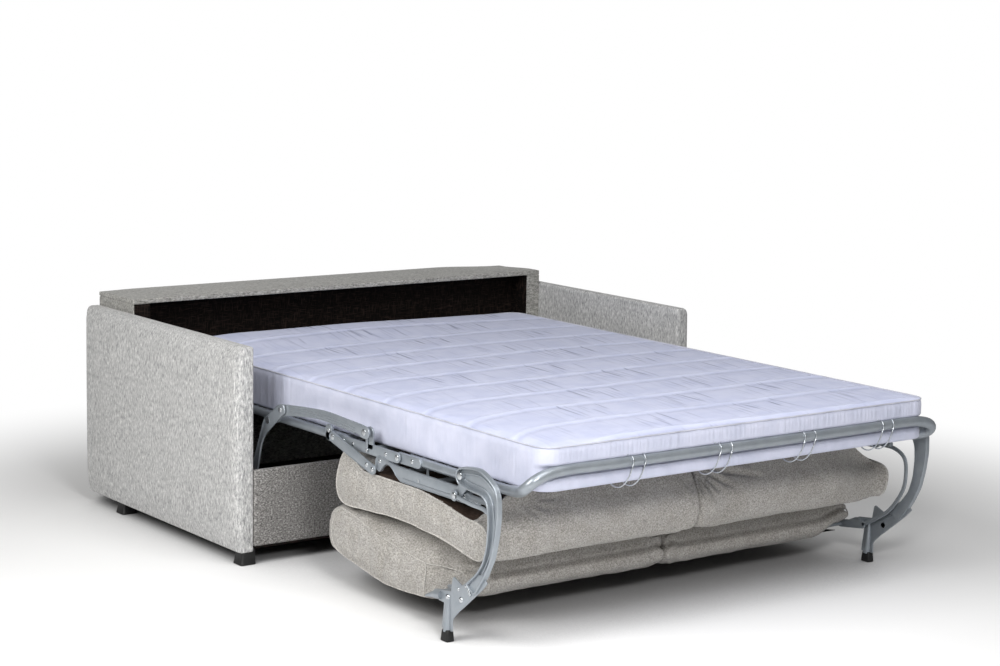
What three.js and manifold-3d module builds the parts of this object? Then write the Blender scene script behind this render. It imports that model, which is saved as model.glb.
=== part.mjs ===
// Two-seat sofa whose bed is pulled out. Millimetres, +Z up, +X to the right, the bed reaches out along -Y.
// While the sizes are worked out, y = 0 is the arms' front; the group is moved at the end to the middle of its box.
import * as THREE from "three";
import { mergeVertices } from "three/addons/utils/BufferGeometryUtils.js";
import Module from "manifold-3d";

const wasm = await Module();
wasm.setup();

// Driving sizes of the sofa's body
const sofaWidth = 1740;
const armThickness = 55;
const armDepth = 1015;
const armTop = 654;
const armEdge = 14;
const armCorner = 26;
const feetHeight = 48.7;
const seatGap = 0.3;
const boxFront = 778;
const boxRear = 1023;
const boxTop = 697;
const slabThickness = 29;
const uprightWidth = 55.7;
const backPanelThickness = 20;
const frontPanelFace = 8;
const frontPanelThickness = 20;
const baseTop = 285;
const coverThickness = 5;
const frontRailDepth = 18;
const frontRailHeight = 58;
const sideRailThickness = 17.7;
const footTop = 44;
const footFloor = 52;
const footFlare = 3;
const frontFootY = 36;
const rearFootY = 802;
const footInset = 41;
const liningThickness = 2.5;

// Driving sizes of the bed mechanism
const railHeight = 430;
const railRadius = 12.5;
const railInset = 82.5;
const crossRadius = 10;
const meshThickness = 4;
const foldFront = -356;
const linkLength = 272;
const headHinge = 440;
const headTip = 720;
const footTubeY = -1230;
const footTubeRise = 65;
const footTubeRadius = 15;
const loopReach = 42.5;
const hingeRadius = 15;
const railSetBack = 19;
const pinRadius = 6;
const strongPinRadius = 8;
const topPinRadius = 10;
const pinPlay = 0.4;
const headStep = 4;
const headThickness = 1.1;
const weld = 1;
const swingPivotY = 156;
const swingPivotHeight = 127;
const swingTopY = 25;
const swingSpan = 300;
const rearArmHalf = 18;
const carryRivetAhead = 72;
const carryRivetRise = 41;
const liftRivetAhead = 133;
const liftRivetRise = 49;
const braceTopBehind = 43;
const braceTopRise = 5;
const braceFootAhead = 165;
const braceFootDrop = 51;
const braceHalf = 15;
const channelAhead = 176;
const channelPastLeg = 22;
const legSetBack = 233;
const legPivotRise = 25;
const backPivotBehind = 72;
const backPivotDrop = 45;

// Layers of the mechanism: their two faces, measured inwards from the side rails
const innerPlateDepths = [99, 90];
const outerPlateDepths = [75, 66];
const linkDepths = [65, 59];
const channelDepths = [67, 56];
const braceDepths = [54, 49];
const carryDepths = [47, 41];
const swingDepths = [39, 35];
const rearArmDepths = [31.5, 27.5];
const legDepths = [24, 8];
const bracketDepths = [7, 0.3];
const rubberDepths = [32.5, 0];
const layerGap = 0.3;

// Driving sizes of the padded pieces
const mattressInset = 14.5;
const mattressThickness = 120;
const mattressHead = 758;
const mattressLip = 6;
const mattressClearance = 0.7;
const mattressEdge = 16;
const mattressCorner = 34;
const bendReach = 136;
const cushionInset = 59;
const cushionSplit = 0.8;
const seatNoseBehind = 38;
const seatNoseDrop = 62;
const seatDepth = 740;
const backNoseBehind = 59;
const backNoseDrop = 258;
const backLength = 615;
const wireRadius = 1.5;
const clipShares = [-0.5614, -0.1286, 0.3143, 0.75];
const clipSpacing = 41;

// Sizes that follow
const halfWidth = sofaWidth / 2;
const armInner = halfWidth - armThickness;
const bodyHalf = armInner - seatGap;
const armBottom = feetHeight + seatGap;
const mechanismHalf = bodyHalf - sideRailThickness;
const layerAt = ([far, near]) => [mechanismHalf - far, mechanismHalf - near];
const innerPlate = layerAt(innerPlateDepths);
const outerPlate = layerAt(outerPlateDepths);
const linkLayer = layerAt(linkDepths);
const channelLayer = layerAt(channelDepths);
const braceLayer = layerAt(braceDepths);
const carryLayer = layerAt(carryDepths);
const swingLayer = layerAt(swingDepths);
const rearArmLayer = layerAt(rearArmDepths);
const legLayer = layerAt(legDepths);
const bracketLayer = layerAt(bracketDepths);
const rubberLayer = layerAt(rubberDepths);
const railCentre = mechanismHalf - railInset;
const mattressHalf = railCentre - mattressInset;
const cushionHalf = mechanismHalf - cushionInset;
const linkRear = foldFront - linkLength;
const footTubeHeight = railHeight + footTubeRise;
const carryRivetY = swingTopY - carryRivetAhead;
const carryRivetHeight = railHeight + carryRivetRise;
const liftRivetY = foldFront - liftRivetAhead;
const liftRivetHeight = railHeight + liftRivetRise;
const braceTopY = foldFront + braceTopBehind;
const braceTopHeight = railHeight + braceTopRise;
const braceFootY = foldFront - braceFootAhead;
const braceFootHeight = railHeight - braceFootDrop;
const legPivotY = footTubeY + legSetBack;
const legPivotHeight = railHeight + legPivotRise;
const backPivotY = legPivotY + backPivotBehind;
const backPivotHeight = railHeight - backPivotDrop;
const channelFrontY = foldFront - channelAhead;
const channelRearY = legPivotY - channelPastLeg;
const seatNoseY = foldFront + seatNoseBehind;
const seatNoseHeight = railHeight - seatNoseDrop;
const backNoseY = foldFront + backNoseBehind;
const backNoseHeight = railHeight - backNoseDrop;
const mattressOver = footTubeY - mattressLip;
const mattressEnd = footTubeY + footTubeRadius + mattressClearance;
const slabUnderside = boxTop - slabThickness;
const frameBottom = armBottom + coverThickness + seatGap;
const mattressBottom = railHeight + railRadius + wireRadius / 3;
const mattressTop = mattressBottom + mattressThickness;
const meshTop = mattressBottom - wireRadius / 3;
const meshBottom = meshTop - meshThickness;
const crossHeight = meshBottom - seatGap - crossRadius;
const meshHalf = railCentre - Math.sqrt(railRadius ** 2 - (meshBottom - railHeight) ** 2) - seatGap;

// Basic shapes. Outlines are lists of [u, v]; an extrusion along x takes (y, z), along y (z, x), along z (x, y).
const ORDER = { x: ["y", "z", "x"], y: ["z", "x", "y"], z: ["x", "y", "z"] };

function extrude(outline, axis, span) {
  const shape = new THREE.Shape(outline.map(([u, v]) => new THREE.Vector2(u, v)));
  const [low, high] = [Math.min(...span), Math.max(...span)];
  const geometry = new THREE.ExtrudeGeometry(shape, { depth: high - low, bevelEnabled: false });
  return turned(geometry, axis, low);
}

function turned(geometry, axis, low) {
  const unit = ORDER[axis].map((letter) => Object.assign(new THREE.Vector3(), { [letter]: 1 }));
  const offset = unit[2].clone().multiplyScalar(low);
  const matrix = new THREE.Matrix4().makeBasis(unit[0], unit[1], unit[2]).setPosition(offset);
  return geometry.applyMatrix4(matrix);
}

function softSlab(outline, axis, span, edge, edgeSteps = 3) {
  const [low, high] = [Math.min(...span), Math.max(...span)];
  const shape = new THREE.Shape(outline.map(([u, v]) => new THREE.Vector2(u, v)));
  const geometry = new THREE.ExtrudeGeometry(shape, {
    depth: high - low - 2 * edge,
    bevelEnabled: true,
    bevelThickness: edge,
    bevelSize: edge,
    bevelOffset: -edge,
    bevelSegments: edgeSteps,
  });
  return turned(geometry, axis, low + edge);
}

function box(x, y, z) {
  const size = [x, y, z].map(([low, high]) => high - low);
  const middle = [x, y, z].map(([low, high]) => (low + high) / 2);
  return new THREE.BoxGeometry(...size).translate(...middle);
}

function pin(span, y, z, radius, sides = 8) {
  const [low, high] = [Math.min(...span), Math.max(...span)];
  const turn = Math.PI / sides;
  return new THREE.CylinderGeometry(radius, radius, high - low, sides)
    .rotateY(turn)
    .rotateZ(Math.PI / 2)
    .translate((low + high) / 2, y, z);
}

function circle(y, z, radius, sides = 12) {
  return Array.from({ length: sides }, (_, i) => {
    const angle = (2 * Math.PI * i) / sides;
    return [y + radius * Math.cos(angle), z + radius * Math.sin(angle)];
  });
}

function rounded(outline, radius, steps = 3) {
  const points = [];
  outline.forEach((corner, i) => {
    const before = outline[(i + outline.length - 1) % outline.length];
    const after = outline[(i + 1) % outline.length];
    const reach = Array.isArray(radius) ? radius[i] : radius;
    const [b, c, a] = [before, corner, after].map(([u, v]) => new THREE.Vector2(u, v));
    const toBefore = b.clone().sub(c);
    const toAfter = a.clone().sub(c);
    const back = Math.min(reach, toBefore.length() * 0.45, toAfter.length() * 0.45);
    const start = c.clone().add(toBefore.setLength(back));
    const end = c.clone().add(toAfter.setLength(back));
    const curve = new THREE.QuadraticBezierCurve(start, c, end);
    points.push(...curve.getPoints(steps).map((p) => [p.x, p.y]));
  });
  return points;
}

function smooth(outline, count) {
  const curve = new THREE.CatmullRomCurve3(
    outline.map(([u, v]) => new THREE.Vector3(u, v, 0)),
    true,
    "centripetal",
  );
  return curve.getSpacedPoints(count).slice(0, count).map((p) => [p.x, p.y]);
}

function capsule([y0, z0], [y1, z1], radius, steps = 4) {
  const angle = Math.atan2(z1 - z0, y1 - y0);
  const points = [];
  for (const [y, z, from] of [[y1, z1, angle - Math.PI / 2], [y0, z0, angle + Math.PI / 2]]) {
    for (let i = 0; i <= steps; i += 1) {
      const turn = from + (Math.PI * i) / steps;
      points.push([y + radius * Math.cos(turn), z + radius * Math.sin(turn)]);
    }
  }
  return points;
}

function strip(points, thickness) {
  const sides = [[], []];
  points.forEach((point, i) => {
    const before = points[Math.max(0, i - 1)];
    const after = points[Math.min(points.length - 1, i + 1)];
    const normal = new THREE.Vector2(before[1] - after[1], after[0] - before[0]).setLength(thickness / 2);
    sides[0].push([point[0] + normal.x, point[1] + normal.y]);
    sides[1].push([point[0] - normal.x, point[1] - normal.y]);
  });
  return [...sides[0], ...sides[1].reverse()];
}

function inset(outline, distance) {
  const sum = outline.reduce((total, [u, v], i) => {
    const [u1, v1] = outline[(i + 1) % outline.length];
    return total + u * v1 - u1 * v;
  }, 0);
  const side = Math.sign(sum);
  return outline.map((point, i) => {
    const before = outline[(i + outline.length - 1) % outline.length];
    const after = outline[(i + 1) % outline.length];
    const normal = new THREE.Vector2(before[1] - after[1], after[0] - before[0]).setLength(distance * side);
    return [point[0] + normal.x, point[1] + normal.y];
  });
}

// A closed skin over rings of equal length: quads between neighbours, the two ends closed by `ends` triangles.
function loft(rings, ends) {
  const count = rings[0].length;
  const positions = rings.flat().flatMap((p) => [p.x, p.y, p.z]);
  const index = [];
  for (let r = 0; r + 1 < rings.length; r += 1) {
    for (let i = 0; i < count; i += 1) {
      const [a, b] = [r * count + i, r * count + ((i + 1) % count)];
      index.push(a, b, b + count, a, b + count, a + count);
    }
  }
  const last = (rings.length - 1) * count;
  for (const [a, b, c] of ends) {
    index.push(a, c, b, last + a, last + b, last + c);
  }
  const geometry = new THREE.BufferGeometry();
  geometry.setAttribute("position", new THREE.Float32BufferAttribute(positions, 3));
  geometry.setIndex(index);
  return geometry;
}

function fan(count) {
  return Array.from({ length: count - 2 }, (_, i) => [0, i + 1, i + 2]);
}

function tube(points, radius, sides = 10, steps = 6) {
  const path = new THREE.CurvePath();
  const knots = points.map((p) => new THREE.Vector3(...p));
  let from = knots[0];
  for (let i = 1; i + 1 < knots.length; i += 1) {
    const corner = knots[i];
    const toBefore = knots[i - 1].clone().sub(corner);
    const toAfter = knots[i + 1].clone().sub(corner);
    const reach = Math.min(toBefore.length(), toAfter.length()) * 0.48;
    const start = corner.clone().add(toBefore.setLength(reach));
    const end = corner.clone().add(toAfter.setLength(reach));
    path.add(new THREE.LineCurve3(from, start));
    path.add(new THREE.QuadraticBezierCurve3(start, corner, end));
    from = end;
  }
  path.add(new THREE.LineCurve3(from, knots[knots.length - 1]));
  const line = [];
  for (const curve of path.curves) {
    const share = curve.isLineCurve3 ? 1 : steps;
    for (const p of curve.getPoints(share)) {
      if (!line.length || line[line.length - 1].distanceTo(p) > radius * 0.05) line.push(p);
    }
  }
  const rings = [];
  let normal = null;
  line.forEach((p, i) => {
    const ahead = line[Math.min(line.length - 1, i + 1)];
    const behind = line[Math.max(0, i - 1)];
    const tangent = ahead.clone().sub(behind).normalize();
    if (!normal) {
      const least = Math.abs(tangent.z) < 0.9 ? new THREE.Vector3(0, 0, 1) : new THREE.Vector3(1, 0, 0);
      normal = least;
    }
    normal = normal.clone().addScaledVector(tangent, -normal.dot(tangent)).normalize();
    const side = tangent.clone().cross(normal);
    rings.push(
      Array.from({ length: sides }, (_, k) => {
        const angle = (2 * Math.PI * k) / sides;
        return p
          .clone()
          .addScaledVector(normal, radius * Math.cos(angle))
          .addScaledVector(side, radius * Math.sin(angle));
      }),
    );
  });
  return loft(rings, fan(sides));
}

// A padded block: one outline in (y, z), drawn in towards its middle at both ends of the span along x.
function padded(outline, span, drawnIn, rollDepth, crown) {
  const [low, high] = [Math.min(...span), Math.max(...span)];
  const stations = [];
  for (const [share, pull] of rollShares) {
    stations.push([low + rollDepth * share, drawnIn * pull]);
  }
  for (const share of crownShares) {
    const x = low + rollDepth + (high - low - 2 * rollDepth) * share;
    stations.push([x, -crown * 4 * share * (1 - share)]);
  }
  for (const [share, pull] of [...rollShares].reverse()) {
    stations.push([high - rollDepth * share, drawnIn * pull]);
  }
  const rings = stations.map(([x, pull]) => {
    const ring = inset(outline, pull);
    return ring.map(([y, z]) => new THREE.Vector3(x, y, z));
  });
  const contour = outline.map(([u, v]) => new THREE.Vector2(u, v));
  const area = (points) => Math.sign(THREE.ShapeUtils.area(points));
  const ends = THREE.ShapeUtils.triangulateShape(contour, []).map(([a, b, c]) =>
    area([contour[a], contour[b], contour[c]]) === area(contour) ? [a, b, c] : [a, c, b],
  );
  return loft(rings, ends);
}

const rollShares = [[0, 1], [0.08, 0.6], [0.3, 0.25], [0.6, 0.06], [1, 0]];
const crownShares = [0.25, 0.5, 0.75];

// Solids are joined and cut as closed bodies.
function solid(geometry) {
  const bare = geometry.index ? geometry.toNonIndexed() : geometry.clone();
  bare.deleteAttribute("normal");
  bare.deleteAttribute("uv");
  const merged = mergeVertices(bare);
  const triVerts = new Uint32Array(merged.index.array);
  const vertProperties = new Float32Array(merged.attributes.position.array);
  const made = new wasm.Manifold(new wasm.Mesh({ numProp: 3, vertProperties, triVerts }));
  if (made.volume() >= 0) return made;
  for (let i = 0; i < triVerts.length; i += 3) {
    [triVerts[i + 1], triVerts[i + 2]] = [triVerts[i + 2], triVerts[i + 1]];
  }
  return new wasm.Manifold(new wasm.Mesh({ numProp: 3, vertProperties, triVerts }));
}

function skin(made) {
  const mesh = made.getMesh();
  const geometry = new THREE.BufferGeometry();
  geometry.setAttribute("position", new THREE.Float32BufferAttribute(mesh.vertProperties, 3));
  geometry.setIndex(Array.from(mesh.triVerts));
  return geometry;
}

function build(add, cut = []) {
  let made = solid(add[0]);
  for (const geometry of add.slice(1)) made = made.add(solid(geometry));
  for (const geometry of cut) made = made.subtract(solid(geometry));
  return skin(made);
}

function mirrored(geometry) {
  const other = geometry.clone().scale(-1, 1, 1);
  const index = other.index.array;
  for (let i = 0; i < index.length; i += 3) {
    [index[i + 1], index[i + 2]] = [index[i + 2], index[i + 1]];
  }
  return other;
}

const sofa = new THREE.Group();
sofa.name = "sleeper_sofa";

const FINISHES = {
  upholstery: 0xb9b6b0,
  lining: 0x2b2421,
  felt: 0x3a322d,
  steel: 0x8c9399,
  wire: 0xb4b8bc,
  ticking: 0xd6d7e4,
  black: 0x1c1c1d,
  board: 0x4a4038,
};

function place(name, geometry, finish) {
  geometry.computeVertexNormals();
  const material = new THREE.MeshStandardMaterial({ color: FINISHES[finish], roughness: 0.7 });
  const mesh = new THREE.Mesh(geometry, material);
  mesh.name = name;
  sofa.add(mesh);
}

function placePair(name, geometry, finish) {
  place(`${name}_right`, geometry, finish);
  place(`${name}_left`, mirrored(geometry), finish);
}

const at = (shares, y, z, unit) => shares.map(([u, v]) => [y + u * unit, z + v * unit]);
const both = (layer) => [-layer[1], layer[1]];
const past = (layer, low, high) => [layer[0] - low, layer[1] + high];
const boss = (from, to) => [Math.min(from, to), Math.max(from, to)];

// Sofa body: arms, box behind the seat, base
const armOutline = rounded(
  [[0, armBottom], [armDepth, armBottom], [armDepth, armTop], [0, armTop]],
  armCorner,
);
placePair("arm", build([softSlab(armOutline, "x", [armInner, halfWidth], armEdge)]), "upholstery");

const slabCrown = slabThickness / 4;
const slabOutline = rounded(
  [
    [boxFront, slabUnderside],
    [boxRear, slabUnderside],
    [boxRear, boxTop - slabCrown],
    [(boxFront + boxRear) / 2, boxTop + slabCrown / 3],
    [boxFront, boxTop - slabCrown],
  ],
  [seatGap * 10, seatGap * 10, slabThickness / 2, armDepth / 10, slabThickness / 2],
);
place("back_top_slab", build([extrude(slabOutline, "x", [-bodyHalf, bodyHalf])]), "upholstery");

const panelInner = boxRear - backPanelThickness;
const boxUnder = slabUnderside - seatGap;
const backPanel = box([-bodyHalf, bodyHalf], [panelInner, boxRear], [frameBottom, boxUnder]);
place("back_panel", build([backPanel]), "upholstery");

const uprightInner = bodyHalf - uprightWidth;
const uprightOutline = rounded(
  [
    [boxFront, uprightInner],
    [panelInner - seatGap, uprightInner],
    [panelInner - seatGap, bodyHalf],
    [boxFront, bodyHalf],
  ],
  [armEdge, seatGap, seatGap, armEdge],
);
const uprightPlan = uprightOutline.map(([y, x]) => [x, y]);
const upright = extrude(uprightPlan, "z", [baseTop + seatGap, boxUnder]);
placePair("back_upright", build([upright]), "upholstery");

const frontPanelBack = frontPanelFace + frontPanelThickness;
const panelOutline = rounded(
  [
    [frontPanelFace, frameBottom],
    [frontPanelBack, frameBottom],
    [frontPanelBack, baseTop],
    [frontPanelFace, baseTop],
  ],
  frontPanelThickness / 4,
);
const frontPanel = extrude(panelOutline, "x", [-bodyHalf, bodyHalf]);
place("base_front_panel", build([frontPanel]), "upholstery");

const sideRailInner = bodyHalf - sideRailThickness;
const railFront = frontPanelBack + seatGap;
const railRear = panelInner - seatGap;
const sideRail = box([sideRailInner, bodyHalf], [railFront, railRear], [frameBottom, baseTop]);
placePair("base_side_rail", build([sideRail]), "board");

const frontRail = box(
  [seatGap - sideRailInner, sideRailInner - seatGap],
  [railFront, railFront + frontRailDepth],
  [frameBottom, frameBottom + frontRailHeight],
);
place("base_front_rail", build([frontRail]), "black");

const cover = box([-bodyHalf, bodyHalf], [frontPanelFace, boxRear], [armBottom, armBottom + coverThickness]);
place("base_bottom_cover", build([cover]), "lining");

const footCentre = halfWidth - footInset;
function footRing(size, flare, height, y) {
  const half = size / 2;
  const corners = [[-half, -half], [half, -half], [half, half], [-half, half]];
  const ring = rounded(corners, half / 3, 2);
  return ring.map(([u, v]) => new THREE.Vector3(footCentre + flare + u, y + v, height));
}
for (const [name, y] of [["front_foot", frontFootY], ["rear_foot", rearFootY]]) {
  const rings = [footRing(footFloor, footFlare, 0, y), footRing(footTop, 0, feetHeight, y)];
  placePair(name, build([loft(rings, fan(rings[0].length))]), "black");
}

const liningDrop = (boxUnder - baseTop) * 0.7;
const liningY = boxFront + (boxRear - boxFront) * 0.35;
const liningLine = smoothLine([
  [liningY, boxUnder - seatGap],
  [liningY + liningThickness * 3, boxUnder - liningDrop * 0.3],
  [liningY + liningThickness * 5, boxUnder - liningDrop * 0.7],
  [liningY + liningThickness * 2, boxUnder - liningDrop],
], 8);
function smoothLine(points, count) {
  const curve = new THREE.CatmullRomCurve3(points.map(([u, v]) => new THREE.Vector3(u, v, 0)));
  return curve.getSpacedPoints(count).map((p) => [p.x, p.y]);
}
const liningHalf = uprightInner - seatGap;
const lining = extrude(strip(liningLine, liningThickness), "x", [-liningHalf, liningHalf]);
place("back_lining", build([lining]), "lining");

// Brackets on the side rails carry the two pairs of swing arms.
const rearPivotY = swingPivotY + swingSpan;
const swingRadius = Math.hypot(swingTopY - swingPivotY, railHeight - swingPivotHeight);
const headOf = (radius) => radius + headStep;
const bracketPlate = extrude(
  capsule([swingPivotY, swingPivotHeight], [rearPivotY, swingPivotHeight], headOf(strongPinRadius) * 3),
  "x",
  bracketLayer,
);
function stubPin(y, z, radius, from, layer, inward) {
  // A pin that starts at `from`, has a shoulder up to the layer, passes through it and ends in a flat head.
  const [near, far] = inward ? [layer[1], layer[0]] : [layer[0], layer[1]];
  const step = inward ? -1 : 1;
  return [
    pin(boss(from, near - step * layerGap), y, z, radius + headStep / 2),
    pin(boss(near - step * weld, far + step * layerGap), y, z, radius),
    pin(boss(far + step * layerGap, far + step * (layerGap + headThickness)), y, z, headOf(radius)),
  ];
}
const rivetRows = [];
for (const share of [0.25, 0.5, 0.75]) {
  const y = swingPivotY + swingSpan * share;
  rivetRows.push(pin(boss(bracketLayer[0] - headThickness, bracketLayer[0] + weld), y, swingPivotHeight, pinRadius));
}
placePair(
  "pivot_bracket",
  build([
    bracketPlate,
    ...rivetRows,
    ...stubPin(swingPivotY, swingPivotHeight, strongPinRadius, bracketLayer[0] + weld, swingLayer, true),
    ...stubPin(rearPivotY, swingPivotHeight, strongPinRadius, bracketLayer[0] + weld, rearArmLayer, true),
  ]),
  "steel",
);

const holeFor = (radius, layer, y, z) => pin(past(layer, weld, weld), y, z, radius + pinPlay, 16);

const swingArmShares = [
  [-0.6750, 1.1080], [-0.7050, 1.0300], [-0.6152, 0.9667], [-0.3545, 0.7727], [-0.2909, 0.6697],
  [-0.2485, 0.4970], [-0.0720, -0.0212], [-0.0360, -0.0727], [0.0330, -0.0727], [0.0710, -0.0212],
  [0.0606, 0.0273], [-0.3485, 0.9333], [-0.4200, 0.9680], [-0.5848, 1.0848],
];
const swingArmOutline = rounded(at(swingArmShares, swingPivotY, swingPivotHeight, swingRadius), hingeRadius, 3);
placePair(
  "front_swing_arm",
  build(
    [
      extrude(swingArmOutline, "x", swingLayer),
      ...stubPin(carryRivetY, carryRivetHeight, pinRadius, swingLayer[0] + weld, carryLayer, true),
      pin(boss(swingLayer[1] - weld, swingLayer[1] + headThickness), carryRivetY, carryRivetHeight, headOf(pinRadius)),
    ],
    [
      holeFor(strongPinRadius, swingLayer, swingPivotY, swingPivotHeight),
      holeFor(topPinRadius, swingLayer, swingTopY, railHeight),
    ],
  ),
  "steel",
);

const rearTopY = swingTopY + swingSpan;
placePair(
  "rear_swing_arm",
  build(
    [
      extrude(
        capsule([rearPivotY, swingPivotHeight], [rearTopY, railHeight], rearArmHalf),
        "x",
        rearArmLayer,
      ),
    ],
    [
      holeFor(strongPinRadius, rearArmLayer, rearPivotY, swingPivotHeight),
      holeFor(strongPinRadius, rearArmLayer, rearTopY, railHeight),
    ],
  ),
  "steel",
);

// Middle section: two rails, two cross tubes, hinge plates and the pins that its neighbours turn on
function sides(make) {
  const right = make();
  return [...right, ...right.map((g) => mirrored(g.index ? g : mergeVertices(g)))];
}
function railTube(from, to) {
  return tube([[railCentre, from, railHeight], [railCentre, to, railHeight]], railRadius, 10);
}
function crossTube(y, height, radius, half) {
  return tube([[-half, y, height], [half, y, height]], radius, 10);
}
const earShift = linkLength / 3;
placeFrame("middle_frame", () => [
  railTube(foldFront + railSetBack, headHinge - railSetBack),
  extrude(capsule([foldFront, railHeight], [foldFront + earShift, railHeight], hingeRadius), "x", outerPlate),
  extrude(circle(foldFront + earShift, railHeight + hingeRadius, hingeRadius * 1.2), "x", outerPlate),
  pin(past(outerPlate, 0, headThickness), foldFront + earShift, railHeight + hingeRadius, pinRadius),
  extrude(capsule([headHinge, railHeight], [headHinge - earShift, railHeight], railRadius), "x", outerPlate),
  ...stubPin(foldFront, railHeight, pinRadius, outerPlate[0] + weld, linkLayer, false),
  ...stubPin(headHinge, railHeight, pinRadius, outerPlate[0] + weld, innerPlate, true),
  ...stubPin(swingTopY, railHeight, topPinRadius, railCentre, swingLayer, false),
  ...stubPin(rearTopY, railHeight, strongPinRadius, railCentre, rearArmLayer, false),
  ...stubPin(braceTopY, braceTopHeight, pinRadius, outerPlate[0] + weld, braceLayer, false),
], [foldFront + railSetBack * 2, headHinge - railSetBack * 2]);

function placeFrame(name, make, crossPlaces, extra = []) {
  const crosses = crossPlaces.map((y) => crossTube(y, crossHeight, crossRadius, railCentre));
  place(name, build([...sides(make), ...crosses, ...extra]), "steel");
}

function meshPanel(name, from, to, columns, rows) {
  const bar = wireRadius * 8;
  const [wide, deep] = [(2 * meshHalf - bar) / columns, (to - from - bar) / rows];
  const holes = [];
  for (let i = 0; i < columns; i += 1) {
    for (let j = 0; j < rows; j += 1) {
      const [x, y] = [-meshHalf + bar + i * wide, from + bar + j * deep];
      holes.push(box([x, x + wide - bar], [y, y + deep - bar], [meshBottom - bar, meshTop + bar]));
    }
  }
  const sheet = box([-meshHalf, meshHalf], [from, to], [meshBottom, meshTop]);
  place(name, build([sheet], holes), "wire");
}
meshPanel("middle_mesh", foldFront + railSetBack, headHinge - railSetBack, 8, 4);

const headTubeY = headTip - railRadius;
place(
  "head_frame",
  build(
    [
      ...sides(() => [
        railTube(headHinge + railSetBack, headTubeY),
        extrude(
          capsule([headHinge, railHeight], [headHinge + earShift / 2, railHeight], railRadius),
          "x",
          innerPlate,
        ),
      ]),
      crossTube(headTubeY, railHeight, railRadius, railCentre + railRadius),
      crossTube(headHinge + railSetBack * 2, crossHeight, crossRadius, railCentre),
    ],
    sides(() => [holeFor(pinRadius, innerPlate, headHinge, railHeight)]),
  ),
  "steel",
);
meshPanel("head_mesh", headHinge + earShift / 2 + railSetBack, headTubeY - railRadius - seatGap, 8, 1);

// Link between the middle and the foot section
const liftEar = [
  [liftRivetY - hingeRadius, liftRivetHeight],
  [liftRivetY - hingeRadius * 2.5, railHeight],
  [liftRivetY + hingeRadius * 2.5, railHeight],
  [liftRivetY + hingeRadius, liftRivetHeight],
];
const linkMiddle = (foldFront + linkRear) / 2;
place(
  "link_frame",
  build(
    [
      ...sides(() => [
        extrude(capsule([linkRear, railHeight], [foldFront, railHeight], hingeRadius), "x", linkLayer),
        extrude(liftEar, "x", linkLayer),
        extrude(circle(liftRivetY, liftRivetHeight, hingeRadius), "x", linkLayer),
        pin([linkLayer[1] - weld, carryLayer[0] - layerGap * 2], liftRivetY, liftRivetHeight, pinRadius),
      ]),
      crossTube(linkMiddle, crossHeight, crossRadius, linkLayer[0] + weld),
    ],
    sides(() => [
      holeFor(pinRadius, linkLayer, foldFront, railHeight),
      holeFor(pinRadius, linkLayer, linkRear, railHeight),
    ]),
  ),
  "steel",
);

// Foot section: rails that run into the tube loop round the mattress' end, ears for the legs and the backrest
const loopTop = [railCentre - railRadius, footTubeY, footTubeHeight];
const loopSide = railCentre + loopReach;
const bendStart = footTubeY + footTubeRadius * 6;
const footLoop = [
  [railCentre, bendStart + footTubeRadius, railHeight],
  [railCentre, bendStart - footTubeRadius, railHeight],
  [railCentre + loopReach / 2, footTubeY + footTubeRadius * 2, railHeight + footTubeRadius],
  [loopSide, footTubeY + footTubeRadius / 2, (railHeight + footTubeHeight * 2) / 3],
  loopTop,
  [loopTop[0] - loopReach * 2, footTubeY, footTubeHeight],
];
const earPlate = hull([
  ...circle(backPivotY, backPivotHeight, headOf(strongPinRadius)),
  ...circle(legPivotY, legPivotHeight, headOf(strongPinRadius) * 1.25),
]);
function hull(points) {
  const sorted = [...points].sort((a, b) => a[0] - b[0] || a[1] - b[1]);
  const turn = (o, a, b) => (a[0] - o[0]) * (b[1] - o[1]) - (a[1] - o[1]) * (b[0] - o[0]);
  const half = (list) => {
    const chain = [];
    for (const p of list) {
      while (chain.length > 1 && turn(chain[chain.length - 2], chain[chain.length - 1], p) <= 0) chain.pop();
      chain.push(p);
    }
    return chain.slice(0, -1);
  };
  return [...half(sorted), ...half(sorted.reverse())];
}
const earBlock = box(
  [railCentre, braceLayer[0] + weld],
  [legPivotY + headStep, backPivotY - headStep],
  [railHeight - railRadius + headStep / 4, railHeight + railRadius],
);
const channelTop = railHeight - railRadius - pinRadius * 1.6;
const channelHeight = 41;
const notchShares = [
  [0, 0], [0.087, -0.6], [0.13, -0.1], [0.21, -0.45], [0.25, -1], [0.63, -1],
  [0.97, -1], [1, -0.7], [0.85, -0.05], [0.2, 0], [0.06, 0.02],
];
const channelSpan = channelRearY - channelFrontY;
const seatShift = 50;
const lugShares = [0.427, 0.776];
const lugHeight = channelTop - channelHeight / 2;
const lugs = lugShares.flatMap((share) => {
  const y = channelFrontY + channelSpan * share;
  const plate = [[y, railHeight], [y, lugHeight]];
  return [
    extrude(capsule(...plate, railRadius), "x", [outerPlate[0], channelLayer[0] - seatGap]),
    pin([outerPlate[0], channelLayer[1] + seatGap], y, lugHeight, pinRadius),
  ];
});
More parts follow.
